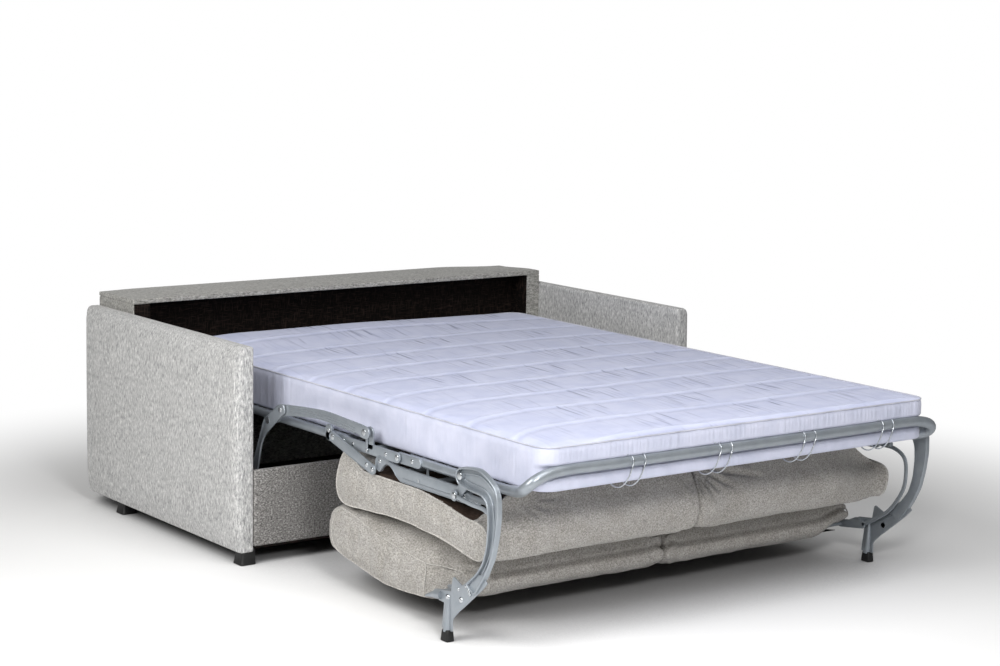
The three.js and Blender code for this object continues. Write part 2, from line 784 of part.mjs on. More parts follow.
placeFrame("foot_frame", () => [
  ...lugs,
  railTube(linkRear - railSetBack, bendStart),
  tube(footLoop, footTubeRadius, 12, 3),
  extrude(capsule([linkRear, railHeight], [linkRear - earShift, railHeight], hingeRadius), "x", outerPlate),
  pin(past(outerPlate, 0, headThickness), linkRear - earShift * 0.7, railHeight, pinRadius),
  ...stubPin(linkRear, railHeight, pinRadius, outerPlate[0] + weld, linkLayer, false),
  earBlock,
  extrude(earPlate, "x", braceLayer),
  pin([braceLayer[1] - weld, carryLayer[1] + layerGap], backPivotY, backPivotHeight, pinRadius),
  pin([carryLayer[1] + layerGap, swingLayer[0]], backPivotY, backPivotHeight, headOf(pinRadius)),
  pin([braceLayer[1] - weld, legLayer[1] + layerGap], legPivotY, legPivotHeight, strongPinRadius),
  pin([swingLayer[0], legLayer[0] - layerGap], legPivotY, legPivotHeight, headOf(strongPinRadius)),
  pin([legLayer[1] + layerGap, legLayer[1] + weld + layerGap], legPivotY, legPivotHeight, headOf(strongPinRadius)),
], [linkRear - railSetBack * 3, bendStart + railSetBack * 3], [
  tube(
    [
      [-loopTop[0] + loopReach, footTubeY, footTubeHeight],
      [loopTop[0] - loopReach, footTubeY, footTubeHeight],
    ],
    footTubeRadius,
    12,
  ),
]);
meshPanel("foot_mesh", bendStart + footTubeRadius * 2, linkRear - railSetBack, 8, 3);

// Wire clips hold the mattress to the foot tube: two strands over the tube, joined under the mattress.
const strandReach = (footTubeRadius + wireRadius + layerGap) * 1.03;
const underMattress = meshBottom - wireRadius;
const wireSides = 5;
const strandLine = (x) => [
  ...[0.32, 0.44, 0.56, 0.68, 0.8, 0.92, 1.04, 1.16].map((share) => {
    const angle = Math.PI * share;
    return [x, footTubeY + strandReach * Math.cos(angle), footTubeHeight + strandReach * Math.sin(angle)];
  }),
  [x, mattressEnd - wireRadius * 6, underMattress - wireRadius * 7],
  [x, mattressEnd + clipSpacing, underMattress],
];
clipShares.forEach((share, i) => {
  const centre = mattressHalf * share;
  const [low, high] = [centre - clipSpacing / 2, centre + clipSpacing / 2];
  const y = mattressEnd + clipSpacing;
  const z = underMattress;
  const joined = [
    tube(strandLine(low), wireRadius, wireSides, 1),
    tube(strandLine(high), wireRadius, wireSides, 1),
    tube([[low - wireRadius, y, z], [high + wireRadius, y, z]], wireRadius, wireSides),
  ];
  place(`mattress_clip_${i + 1}`, build(joined), "wire");
});

// Carrying links and braces beside the fold
const carrySpan = liftRivetY - carryRivetY;
const curvedLinkShares = [
  [0.0362, 0.0204], [-0.0226, 0.0385], [-0.3122, 0.0656], [-0.5566, 0.0792], [-0.7964, 0.0701],
  [-0.9887, 0.0611], [-1.0566, 0.0385], [-1.0475, -0.0158], [-0.9819, -0.0204], [-0.9140, -0.0023],
  [-0.7172, 0.0023], [-0.5181, 0.0136], [-0.3145, 0.0000], [-0.0520, -0.0339], [0.0158, -0.0385],
];
const curvedOutline = smooth(at(curvedLinkShares, carryRivetY, carryRivetHeight, -carrySpan), 40);
const ribLine = [0.12, 0.3, 0.5, 0.7, 0.88].map((share) => [
  carryRivetY + carrySpan * share,
  carryRivetHeight + (liftRivetHeight - carryRivetHeight) * share - carrySpan * 0.11 * share * (1 - share),
]);
placePair(
  "curved_link",
  build(
    [extrude(curvedOutline, "x", carryLayer)],
    [
      extrude(strip(ribLine, pinRadius), "x", [carryLayer[1] - headThickness, carryLayer[1] + weld]),
      holeFor(pinRadius, carryLayer, carryRivetY, carryRivetHeight),
      holeFor(strongPinRadius, carryLayer, liftRivetY, liftRivetHeight),
    ],
  ),
  "steel",
);
placePair(
  "diagonal_bar",
  build(
    [extrude(capsule([braceFootY, braceFootHeight], [braceTopY, braceTopHeight], braceHalf), "x", braceLayer)],
    [
      holeFor(pinRadius, braceLayer, braceTopY, braceTopHeight),
      holeFor(pinRadius, braceLayer, braceFootY, braceFootHeight),
    ],
  ),
  "steel",
);

// Folding legs: a pressed channel that bends round the seat's end, with a web plate and a rubber foot
const legShares = [
  [0.0462, -0.0198], [0.0418, 0.0286], [0.0044, 0.0505], [-0.0945, 0.0681], [-0.1846, 0.0703],
  [-0.2879, 0.0396], [-0.3714, -0.0066], [-0.4022, -0.0615], [-0.4066, -0.1758], [-0.3868, -0.2945],
  [-0.3516, -0.4154], [-0.2791, -0.5319], [-0.1538, -0.6703], [-0.0527, -0.7736], [0.0484, -0.8549],
  [0.0835, -0.8901], [0.0835, -0.9371], [0.1802, -0.9371], [0.1802, -0.8418], [0.2000, -0.7626],
  [0.1824, -0.7143], [0.0703, -0.6088], [0.0154, -0.6703], [-0.0593, -0.6220], [-0.1758, -0.5319],
  [-0.2396, -0.4571], [-0.2747, -0.3560], [-0.2857, -0.2396], [-0.2791, -0.1473], [-0.2549, -0.0989],
  [-0.2022, -0.0791], [-0.1363, -0.0747], [-0.0593, -0.0681], [0.0198, -0.0549],
];
const legOutline = rounded(at(legShares, legPivotY, legPivotHeight, legPivotHeight), headStep * 3, 2);
const rubberTop = Math.min(...legOutline.map((p) => p[1])) - seatGap;
const flange = layerGap * 10;
const legRivetShares = [[0.1407, -0.7516], [0.0066, -0.7275], [-0.0747, -0.6659]];
const legRivets = at(legRivetShares, legPivotY, legPivotHeight, legPivotHeight);
placePair(
  "leg",
  build(
    [
      build(
        [extrude(legOutline, "x", legLayer)],
        [extrude(inset(legOutline, flange), "x", [legLayer[0] + flange, legLayer[1] + weld])],
      ),
      pin([legLayer[0], legLayer[1]], legPivotY, legPivotHeight, headOf(strongPinRadius)),
      ...legRivets.map(([y, z]) => pin([legLayer[0] + weld, legLayer[0] + flange * 2], y, z, pinRadius, 12)),
    ],
    [holeFor(strongPinRadius, legLayer, legPivotY, legPivotHeight)],
  ),
  "steel",
);
const rubberY = legPivotY + legPivotHeight * 0.1319;
const rubberHalf = legPivotHeight * 0.0484;
const rubberRing = (height, grow) => {
  const half = (rubberLayer[1] - rubberLayer[0]) / 2;
  const x = (rubberLayer[0] + rubberLayer[1]) / 2;
  const reach = rubberHalf + grow;
  const corners = [[-half, -reach], [half, -reach], [half, reach], [-half, reach]];
  return rounded(corners, headStep, 2).map(([u, v]) => new THREE.Vector3(x + u, rubberY + v, height));
};
const rubberRings = [rubberRing(0, 0), rubberRing(rubberTop, -wireRadius)];
placePair("leg_foot", build([loft(rubberRings, fan(rubberRings[0].length))]), "black");

// Seat, upside down under the foot section: side channels that slide on the foot section's lugs, felt, two cushions
const channelOutline = notchShares.map(([u, v]) => [
  channelFrontY + channelSpan * u,
  channelTop + channelHeight * v,
]);
const seatCrossHeight = channelTop - channelHeight / 2;
const slots = lugShares.map((share) => {
  const y = channelFrontY + channelSpan * share;
  return extrude(
    capsule([y, lugHeight], [y + seatShift, lugHeight], pinRadius + pinPlay, 8),
    "x",
    past(channelLayer, weld, weld),
  );
});
place(
  "seat_frame",
  build([
    ...sides(() => [
      extrude(rounded(channelOutline, pinRadius, 2), "x", channelLayer),
      pin([channelLayer[1] - weld, channelLayer[1] + headThickness], braceFootY + channelSpan * 0.08,
        braceFootHeight + pinRadius * 2.5, pinRadius),
      tube(
        [
          [channelLayer[0] + pinRadius, channelRearY + channelHeight, seatCrossHeight],
          [channelLayer[0] + pinRadius, channelRearY - channelHeight, seatCrossHeight],
        ],
        strongPinRadius,
        12,
      ),
    ]),
    ...[0.2, 0.55, 0.93].map((share) =>
      crossTube(channelFrontY + channelSpan * share, seatCrossHeight, strongPinRadius, channelLayer[0] + weld),
    ),
  ], sides(() => slots)),
  "steel",
);
const seatShares = [
  [-0.0770, 0.0527], [-0.0297, 0.0162], [0.0000, -0.0703], [-0.0162, -0.1432], [-0.0838, -0.1649],
  [-0.2730, -0.1541], [-0.4716, -0.1486], [-0.7189, -0.1649], [-0.9284, -0.1986], [-0.9824, -0.1730],
  [-1.0000, -0.0919], [-0.9622, -0.0568], [-0.8703, -0.0500], [-0.7054, -0.0203], [-0.5351, -0.0008],
  [-0.3541, 0.0006], [-0.1932, -0.0041], [-0.1243, 0.0162],
];
const seatOutline = smooth(at(seatShares, seatNoseY, seatNoseHeight, seatDepth), 26);
const cushionRoll = 26;
const cushionDraw = 9;
const cushionSpan = [cushionSplit, cushionHalf];
const seatBlock = padded(seatOutline, cushionSpan, cushionDraw, cushionRoll, wireRadius * 2);
const feltHeight = channelTop - channelHeight;
const feltHalf = channelLayer[0] - seatGap;
const felt = box(
  [-feltHalf, feltHalf],
  [channelRearY + liningThickness * 8, channelFrontY + liningThickness * 8],
  [feltHeight - liningThickness / 2, feltHeight + liningThickness / 2],
);
place("seat_lining", build([felt]), "felt");
const feltRoom = box(
  [-sofaWidth, sofaWidth],
  [channelRearY, channelFrontY + liningThickness * 12],
  [feltHeight - liningThickness / 2 - seatGap, railHeight],
);
placePair("seat_cushion", build([seatBlock], [feltRoom]), "upholstery");

// Backrest, under the seat: struts from the ears, two cross tubes in the cushions' underside, a cover
const strutShares = [
  [0, 0], [-0.2052, -0.3545], [-0.5037, -0.5597], [-0.3918, -0.7463], [-0.1866, -0.9328], [-0.0560, -1],
];
const strutDrop = 268;
const strutEnd = [backPivotY - strutDrop * 0.056, backPivotHeight - strutDrop];
const strutPoints = at(strutShares, backPivotY, backPivotHeight, strutDrop);
const strutLine = smoothLine(strutPoints, 14);
const frameTubeHeight = backNoseHeight - backLength * 0.11;
const frameRearY = backNoseY - backLength * 0.9;
const frameFrontY = backNoseY - backLength * 0.19;
const frameRadius = 7.5;
const frameHalf = cushionHalf - pinRadius * 2;
place(
  "back_frame",
  build(
    [
      ...sides(() => [
        extrude(strip(strutLine, strongPinRadius * 2.4), "x", carryLayer),
        extrude(circle(backPivotY, backPivotHeight, hingeRadius), "x", carryLayer),
        extrude(capsule(strutEnd, [frameRearY, frameTubeHeight], headOf(strongPinRadius)), "x", carryLayer),
      ]),
      crossTube(frameRearY, frameTubeHeight, frameRadius, carryLayer[0] + weld),
      crossTube(frameFrontY, frameTubeHeight, frameRadius, frameHalf - frameRadius),
      ...sides(() => [0.1, 0.95].map((share) => tube(
        [
          [frameHalf * share - frameRadius, frameRearY, frameTubeHeight],
          [frameHalf * share - frameRadius, frameFrontY, frameTubeHeight],
        ],
        frameRadius,
        12,
      ))).filter(Boolean),
    ],
    sides(() => [holeFor(pinRadius, carryLayer, backPivotY, backPivotHeight)]),
  ),
  "steel",
);
const backShares = [
  [-0.0943, 0.1073], [-0.0293, 0.0699], [0.0000, -0.0195], [-0.0211, -0.0878], [-0.0780, -0.1171],
  [-0.2325, -0.1496], [-0.4114, -0.1772], [-0.5740, -0.1805], [-0.7220, -0.1740], [-0.8992, -0.1496],
  [-0.9886, -0.1171], [-1.0000, -0.0683], [-0.9886, -0.0195], [-0.8992, -0.0033], [-0.7724, 0.0000],
  [-0.5740, 0.0211], [-0.3626, 0.0537], [-0.1837, 0.0976],
];
const backOutline = smooth(at(backShares, backNoseY, backNoseHeight, backLength), 26);
const backBlock = padded(backOutline, cushionSpan, cushionDraw, cushionRoll, wireRadius * 2);
const roomTop = frameTubeHeight + frameRadius + seatGap * 2;
const roomRear = frameRearY - frameRadius - seatGap * 2;
const roomFront = frameFrontY + frameRadius + seatGap * 2;
const frameRoom = box(
  [-frameHalf - seatGap, frameHalf + seatGap],
  [roomRear, roomFront],
  [backNoseHeight - backLength, roomTop],
);
const tubeRoom = pin([-sofaWidth, sofaWidth], frameRearY, frameTubeHeight, frameRadius + 1);
placePair("back_cushion", build([backBlock], [frameRoom, tubeRoom]), "upholstery");
const coverShares = [[-0.907, -0.140], [-0.722, -0.1685], [-0.574, -0.1750], [-0.4114, -0.1717], [-0.185, -0.131]];
const coverLine = at(coverShares, backNoseY, backNoseHeight, backLength);
const coverHalf = frameHalf - seatGap;
place(
  "back_cover_lining",
  build([extrude(strip(coverLine, liningThickness), "x", [-coverHalf, coverHalf])]),
  "lining",
);

// Mattress in five lengths: three stay flat on their sections, two bend with the folds
const cornerSteps = 6;
function mattressLength(name, from, to, cut = []) {
  const section = rounded(
    [
      [mattressBottom, -mattressHalf],
      [mattressTop, -mattressHalf],
      [mattressTop + wireRadius, 0],
      [mattressTop, mattressHalf],
      [mattressBottom, mattressHalf],
    ],
    [mattressEdge, mattressEdge, mattressHalf / 2, mattressEdge, mattressEdge],
  );
  place(name, build([extrude(section, "y", [from + seatGap / 2, to - seatGap / 2])], cut), "ticking");
}
function cornerCut(x, y, towards) {
  // What lies outside a round corner, seen from above
  const arc = Array.from({ length: cornerSteps + 1 }, (_, i) => {
    const angle = (Math.PI / 2) * (i / cornerSteps);
    return [
      x - Math.sign(x) * mattressCorner * (1 - Math.cos(angle)),
      y - towards * mattressCorner * (1 - Math.sin(angle)),
    ];
  });
  const beyond = [[x, y + towards * mattressCorner], [x * 2, y + towards * mattressCorner]];
  const outside = [...arc, ...beyond, [x * 2, y - towards * mattressCorner]];
  return extrude(outside, "z", [mattressBottom - mattressCorner, mattressTop + mattressCorner]);
}
const bendRear = headHinge - bendReach;
const bendFront = foldFront + bendReach;
const linkBend = linkRear - bendReach;
const overTube = footTubeHeight + strandReach + wireRadius * 4;
const endNotch = box([-sofaWidth, sofaWidth], [mattressOver * 2, mattressEnd], [0, overTube]);
const corners = (y, towards) => [cornerCut(mattressHalf, y, towards), cornerCut(-mattressHalf, y, towards)];
mattressLength("mattress_foot", mattressOver, linkBend, [endNotch, ...corners(mattressOver, -1)]);
mattressLength("mattress_fold_front", linkBend, bendFront);
mattressLength("mattress_middle", bendFront, bendRear);
mattressLength("mattress_fold_rear", bendRear, headHinge + bendReach);
mattressLength("mattress_head", headHinge + bendReach, mattressHead, corners(mattressHead, 1));

// The origin is on the floor under the middle of the box.
const reach = new THREE.Box3().setFromObject(sofa);
export const originShift = -(reach.min.y + reach.max.y) / 2;
for (const mesh of sofa.children) mesh.geometry.translate(0, originShift, 0);

export default sofa;
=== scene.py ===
"""Sleeper sofa with its bed pulled out: cloth, mattress, cushions and folding steel frame."""

import math

import bmesh
import bpy
import numpy as np
from mathutils import Matrix, Vector
from mathutils.bvhtree import BVHTree


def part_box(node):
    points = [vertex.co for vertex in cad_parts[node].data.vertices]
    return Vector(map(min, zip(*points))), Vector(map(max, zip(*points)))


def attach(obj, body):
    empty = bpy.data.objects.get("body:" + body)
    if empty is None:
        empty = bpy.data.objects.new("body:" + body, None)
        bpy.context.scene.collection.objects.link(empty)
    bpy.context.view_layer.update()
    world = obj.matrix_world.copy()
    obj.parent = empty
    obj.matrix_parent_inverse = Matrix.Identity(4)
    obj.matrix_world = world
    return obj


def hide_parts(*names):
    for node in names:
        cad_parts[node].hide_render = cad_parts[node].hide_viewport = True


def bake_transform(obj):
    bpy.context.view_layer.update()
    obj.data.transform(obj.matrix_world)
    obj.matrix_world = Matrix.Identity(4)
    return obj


bl_info = {
    "name": "Sleeper sofa",
    "version": (1, 0, 0),
    "blender": (4, 5, 0),
    "location": "View3D > Sidebar > Sleeper sofa",
    "description": "Builds a sleeper sofa with its bed pulled out round the packed model",
    "category": "Object",
}

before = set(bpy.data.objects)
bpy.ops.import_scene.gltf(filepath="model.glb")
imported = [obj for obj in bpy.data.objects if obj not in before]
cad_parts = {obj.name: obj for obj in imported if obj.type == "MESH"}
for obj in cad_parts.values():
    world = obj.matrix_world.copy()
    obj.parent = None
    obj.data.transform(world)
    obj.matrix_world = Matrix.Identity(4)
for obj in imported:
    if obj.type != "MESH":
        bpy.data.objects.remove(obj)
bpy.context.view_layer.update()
MM = 0.001
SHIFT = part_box("arm_left")[0][1]  # y of the arms' front; lengths along y below are counted from there
SIDES = {"left": -1, "right": 1}


# Numbers and curves


def hashed(a, b):
    """A repeatable number from 0 to 1 for each pair of whole numbers: the broken part of a large sine."""
    value = np.sin(a * 12.9898 + b * 78.233) * 43758.5453
    return value - np.floor(value)


def smooth_step(value, low, high):
    """0 below low, 1 above high, and a smooth cubic between."""
    t = np.clip((value - low) / (high - low), 0, 1)
    return t * t * (3 - 2 * t)


def resampled(points, count, closed):
    """The same line with its points at even distances along it."""
    line = np.vstack([points, points[:1]]) if closed else points
    length = np.concatenate([[0], np.cumsum(np.linalg.norm(np.diff(line, axis=0), axis=1))])
    at = np.linspace(0, length[-1], count, endpoint=not closed)
    return np.stack([np.interp(at, length, line[:, i]) for i in range(line.shape[1])], axis=1)


def spline(points, count, closed=False, per=12):
    """A curve through the points: each stretch is the cubic that keeps the direction between its neighbours."""
    p = np.asarray(points, float)
    if closed:
        p = np.vstack([p[-1:], p, p[:2]])
    else:
        p = np.vstack([2 * p[:1] - p[1:2], p, 2 * p[-1:] - p[-2:-1]])
    a, b, c, d = (p[i : len(p) - 3 + i][:, None, :] for i in range(4))
    t = np.linspace(0, 1, per, endpoint=False)[None, :, None]
    curve = 0.5 * (2 * b + (c - a) * t + (2 * a - 5 * b + 4 * c - d) * t**2 + (3 * b - a - 3 * c + d) * t**3)
    curve = curve.reshape(-1, p.shape[1])
    if not closed:
        curve = np.vstack([curve, p[-2:-1]])
    return resampled(curve, count, closed)


def rounded(outline, radius, steps=4):
    """A closed outline with each corner replaced by a parabola that touches both of its sides."""
    p = np.asarray(outline, float)
    before, after = np.roll(p, 1, axis=0) - p, np.roll(p, -1, axis=0) - p
    lengths = [np.linalg.norm(v, axis=1, keepdims=True) for v in (before, after)]
    reach = np.minimum(radius, 0.45 * np.minimum(*lengths))
    start, end = p + before / lengths[0] * reach, p + after / lengths[1] * reach
    t = np.linspace(0, 1, steps + 1)[None, :, None]
    curve = start[:, None] * (1 - t) ** 2 + 2 * p[:, None] * t * (1 - t) + end[:, None] * t**2
    return curve.reshape(-1, p.shape[1])


def capsule(start, end, radius, steps=10):
    """The outline round two equal circles: a half circle about each end."""
    start, end = np.array(start), np.array(end)
    angle = math.atan2(*(end - start)[::-1])
    turn = np.linspace(-0.5, 0.5, steps + 1) * math.pi
    arc = lambda centre, base: centre + radius * np.stack([np.cos(base + turn), np.sin(base + turn)], axis=1)
    return np.vstack([arc(end, angle), arc(start, angle + math.pi)])


def circle(centre, radius, sides=24):
    turn = np.linspace(0, 2 * math.pi, sides, endpoint=False)
    return np.array(centre) + radius * np.stack([np.cos(turn), np.sin(turn)], axis=1)


def offset(outline, distance):
    """Every point of a closed outline moved inwards by the distance, square to the line through its neighbours."""
    before, after = np.roll(outline, 1, axis=0), np.roll(outline, -1, axis=0)
    area = np.sum(outline[:, 0] * after[:, 1] - outline[:, 1] * after[:, 0])
    along = after - before
    along = along / np.maximum(np.linalg.norm(along, axis=1, keepdims=True), 1e-9)
    inwards = np.stack([-along[:, 1], along[:, 0]], axis=1) * np.sign(area)
    return outline + inwards * distance


def placed(shares, start, unit):
    """An outline given in shares of a length, put at its start, in metres."""
    return np.array(start) + np.array(shares) * unit


# Meshes


def quads(rows, columns, wrap_rows=False, wrap_columns=False, start=0):
    """The faces of a grid of points: each joins a point with its next in both directions."""
    r = np.arange(rows if wrap_rows else rows - 1)[:, None]
    c = np.arange(columns if wrap_columns else columns - 1)[None, :]
    r1, c1 = (r + 1) % rows, (c + 1) % columns
    faces = np.stack([r * columns + c, r * columns + c1, r1 * columns + c1, r1 * columns + c], axis=-1)
    return (faces.reshape(-1, 4) + start).tolist()


class Shell:
    """Gathers grids and flat faces for one mesh."""

    def __init__(self):
        self.points, self.faces, self.count = [], [], 0

    def add(self, points, faces):
        points = np.asarray(points, float).reshape(-1, 3)
        self.points.append(points)
        self.faces += [[i + self.count for i in face] for face in faces]
        self.count += len(points)

    def grid(self, points, wrap_rows=False, wrap_columns=False):
        rows, columns = points.shape[:2]
        self.add(points, quads(rows, columns, wrap_rows, wrap_columns))

    def flat(self, points):
        self.add(points, [list(range(len(points)))])

    def loft(self, rings, caps=True):
        """Rings of equal length joined into a skin, with a flat face over the first and the last."""
        rings = np.asarray(rings)
        self.grid(rings, wrap_columns=True)
        if caps:
            self.flat(rings[0])
            self.flat(rings[-1])

    def plate(self, outline, x0, x1, edge=0.0012):
        """An outline in y and z carried along x, drawn in at both faces by a quarter circle, so that its edges
        are round."""
        low, high = sorted((x0, x1))
        turn = np.linspace(0, math.pi / 2, 4)
        shape = [(low + edge * (1 - math.cos(a)), edge * (1 - math.sin(a))) for a in turn]
        shape += [(high - edge * (1 - math.cos(a)), edge * (1 - math.sin(a))) for a in turn[::-1]]
        self.loft([with_x(offset(outline, pull), x) for x, pull in shape])

    def tube(self, path, radius, sides=16, steps=None):
        """A circle carried along a path, its frame turned no more than the path turns."""
        path = np.asarray(path, float)
        radius = np.broadcast_to(radius, len(path))
        ahead = np.gradient(path, axis=0)
        ahead /= np.linalg.norm(ahead, axis=1, keepdims=True)
        normal = np.array([0, 0, 1.0]) if abs(ahead[0][2]) < 0.9 else np.array([1.0, 0, 0])
        normals = []
        for direction in ahead:
            normal = normal - direction * normal.dot(direction)
            normal = normal / np.linalg.norm(normal)
            normals.append(normal)
        normals = np.array(normals)
        sideways = np.cross(ahead, normals)
        turn = np.linspace(0, 2 * math.pi, sides, endpoint=False)[None, :, None]
        rings = path[:, None] + radius[:, None, None] * (normals[:, None] * np.cos(turn)
            + sideways[:, None] * np.sin(turn))
        self.loft(rings)

    def dome(self, x, y, z, radius, height, outward, sides=20):
        """A rivet's head: a quarter ellipse turned about the x axis."""
        turn = np.linspace(0, math.pi / 2, 5)[:-1]
        rings = [with_x(circle((y, z), radius * math.cos(a), sides), x
            + outward * height * math.sin(a)) for a in turn]
        self.loft([with_x(circle((y, z), radius, sides), x - outward * height)] + rings)

    def pin(self, x0, x1, y, z, radius, sides=20):
        self.loft([with_x(circle((y, z), radius, sides), x) for x in (x0, x1)])

    def mirrored(self):
        """The same again on the other side of the middle plane."""
        points, faces, count = list(self.points), list(self.faces), self.count
        for p in points:
            self.points.append(p * [-1, 1, 1])
        self.faces += [[i + count for i in reversed(face)] for face in faces]
        self.count *= 2

    def object(self, name, material, side=1, angle=35, weld=1e-5):
        points = np.vstack(self.points) * [side, 1, 1] + [0, SHIFT, 0]
        mesh = bpy.data.meshes.new(name)
        mesh.from_pydata(points, [], self.faces)
        bm = bmesh.new()
        bm.from_mesh(mesh)
        bmesh.ops.remove_doubles(bm, verts=bm.verts, dist=weld)
        bmesh.ops.recalc_face_normals(bm, faces=bm.faces)
        bm.to_mesh(mesh)
        bm.free()
        return finished(name, mesh, material, angle)


def with_x(outline, x):
    return np.column_stack([np.full(len(outline), x), outline])


def finished(name, mesh, material, angle=35):
    mesh.shade_smooth()
    mesh.set_sharp_from_angle(angle=math.radians(angle))
    piece = bpy.data.objects.new(name, mesh)
    bpy.context.scene.collection.objects.link(piece)
    mesh.materials.append(material)
    return piece


def belongs(piece, body, *nodes, slot=None):
    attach(piece, body)
    if nodes:
        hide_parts(*nodes)
    return piece


def rounded_box(low, high, radius, steps=4, cells=(1, 1, 1), swell=0.0, ripple=None):
    """A box whose edges are round. Each face is a grid; a point outside the inner box is pulled back to the radius
    about it, and every face swells by a flat-topped curve in both of its directions."""
    low, high = np.array(low, float), np.array(high, float)
    half, centre = (high - low) / 2, (high + low) / 2
    radius = min(radius, *(half * 0.98))
    edge = radius * (1 - np.tan(np.linspace(math.pi / 4, 0, steps + 1)))
    shell = Shell()
    lines = []
    for axis in range(3):
        inner = np.linspace(-half[axis] + radius, half[axis] - radius, cells[axis] + 1)
        lines.append(np.concatenate([-half[axis] + edge[:-1], inner, (half[axis] - edge[:-1])[::-1]]))
    for axis in range(3):
        u, v = [i for i in range(3) if i != axis]
        for sign in (-1, 1):
            grid = np.zeros((len(lines[u]), len(lines[v]), 3))
            grid[..., u] = lines[u][:, None]
            grid[..., v] = lines[v][None, :]
            grid[..., axis] = sign * half[axis]
            inner = np.clip(grid, -(half - radius), half - radius)
            away = grid - inner
            away = away / np.maximum(np.linalg.norm(away, axis=-1, keepdims=True), 1e-9)
            grid = inner + away * radius
            share = min(1.0, min(half[u], half[v]) / 0.08)
            power = 2 + 4 * share
            bulge = (1 - np.abs(np.clip(grid[..., u] / half[u], -1, 1)) ** power)
            bulge = bulge * (1 - np.abs(np.clip(grid[..., v] / half[v], -1, 1)) ** power)
            grid[..., axis] += sign * swell * share * bulge
            if ripple is not None:
                grid[..., axis] += sign * share * ripple(grid[..., u], grid[..., v]) * bulge
            shell.grid(grid + centre)
    return shell


# Materials


def linear(colour):
    """An sRGB hex colour such as "b9b5ad" as linear red, green, blue and alpha."""
    parts = np.array([int(colour[i : i + 2], 16) / 255 for i in (0, 2, 4)])
    parts = np.where(parts <= 0.04045, parts / 12.92, ((parts + 0.055) / 1.055) ** 2.4)
    return (*parts, 1.0)


def node(tree, kind, inputs=None, **settings):
    """Adds a node, sets its properties and fills its sockets with values or links."""
    made = tree.nodes.new(kind)
    for key, value in settings.items():
        setattr(made, key, value)
    for key, value in (inputs or {}).items():
        if isinstance(value, bpy.types.NodeSocket):
            tree.links.new(value, made.inputs[key])
        else:
            made.inputs[key].default_value = value
    return made


def shades(tree, factor, stops):
    """A colour ramp: the factor's value picks a colour between the stops."""
    ramp = node(tree, "ShaderNodeValToRGB", {"Fac": factor})
    entries = ramp.color_ramp.elements
    while len(entries) < len(stops):
        entries.new(0.5)
    for entry, (place, colour) in zip(entries, stops):
        entry.position = place
        entry.color = linear(colour)
    return ramp.outputs["Color"]


def blank(name):
    material = bpy.data.materials.new(name)
    material.use_nodes = True
    tree = material.node_tree
    return material, tree, tree.nodes["Principled BSDF"]


def object_noise(tree, pitch, stretch=(1, 1, 1), detail=2.0, rough=0.5, distortion=0.0):
    """Soft random values over the object's own coordinates, one blob to each pitch in metres, drawn out by the
    stretch."""
    place = node(tree, "ShaderNodeTexCoord").outputs["Object"]
    scale = [1 / (pitch * s) for s in stretch]
    mapped = node(tree, "ShaderNodeMapping", {"Vector": place, "Scale": scale}).outputs["Vector"]
    sockets = {"Vector": mapped, "Scale": 1.0, "Detail": detail, "Roughness": rough, "Distortion": distortion}
    return node(tree, "ShaderNodeTexNoise", sockets).outputs["Fac"]


def mixed(tree, kind, factor, a, b):
    sockets = {"Factor": factor, "A": a, "B": b}
    made = tree.nodes.new("ShaderNodeMix")
    made.data_type = "RGBA"
    made.blend_type = kind
    for key, value in sockets.items():
        socket = next(s for s in made.inputs if s.name == key and s.enabled)
        if isinstance(value, bpy.types.NodeSocket):
            tree.links.new(value, socket)
        else:
            socket.default_value = value
    return next(s for s in made.outputs if s.enabled)


def raised(tree, shader, height, distance, strength=1.0, under=None):
    inputs = {"Height": height, "Distance": distance, "Strength": strength}
    if under is not None:
        inputs["Normal"] = under
    normal = node(tree, "ShaderNodeBump", inputs).outputs["Normal"]
    tree.links.new(normal, shader.inputs["Normal"])
    return normal


def melange(name, stops, tint, grain=(1, 1, 1), pitch=4.6 * MM):
    """Melange polyester, woven from mixed light and dark yarn: matt, with specks along the yarn. The real yarn is about
    1 mm thick; it is drawn three times as coarse, because finer specks don't show at the photograph's distance."""
    material, tree, shader = blank(name)
    specks = object_noise(tree, pitch, grain, detail=3, rough=0.75)
    colour = shades(tree, specks, stops)
    clouds = shades(tree, object_noise(tree, 60 * MM, detail=3), [(0.3, tint[0]), (0.7, tint[1])])
    colour = mixed(tree, "MULTIPLY", 1.0, colour, clouds)
    tree.links.new(colour, shader.inputs["Base Color"])
    threads = object_noise(tree, 1.5 * MM, grain, detail=1)
    first = raised(tree, shader, threads, 0.5 * MM, 0.5)
    raised(tree, shader, specks, 0.7 * MM, 0.6, first)
    shader.inputs["Roughness"].default_value = 0.92
    shader.inputs["Sheen Weight"].default_value = 0.25
    shader.inputs["Sheen Roughness"].default_value = 0.5
    shader.inputs["Specular IOR Level"].default_value = 0.2
    return material


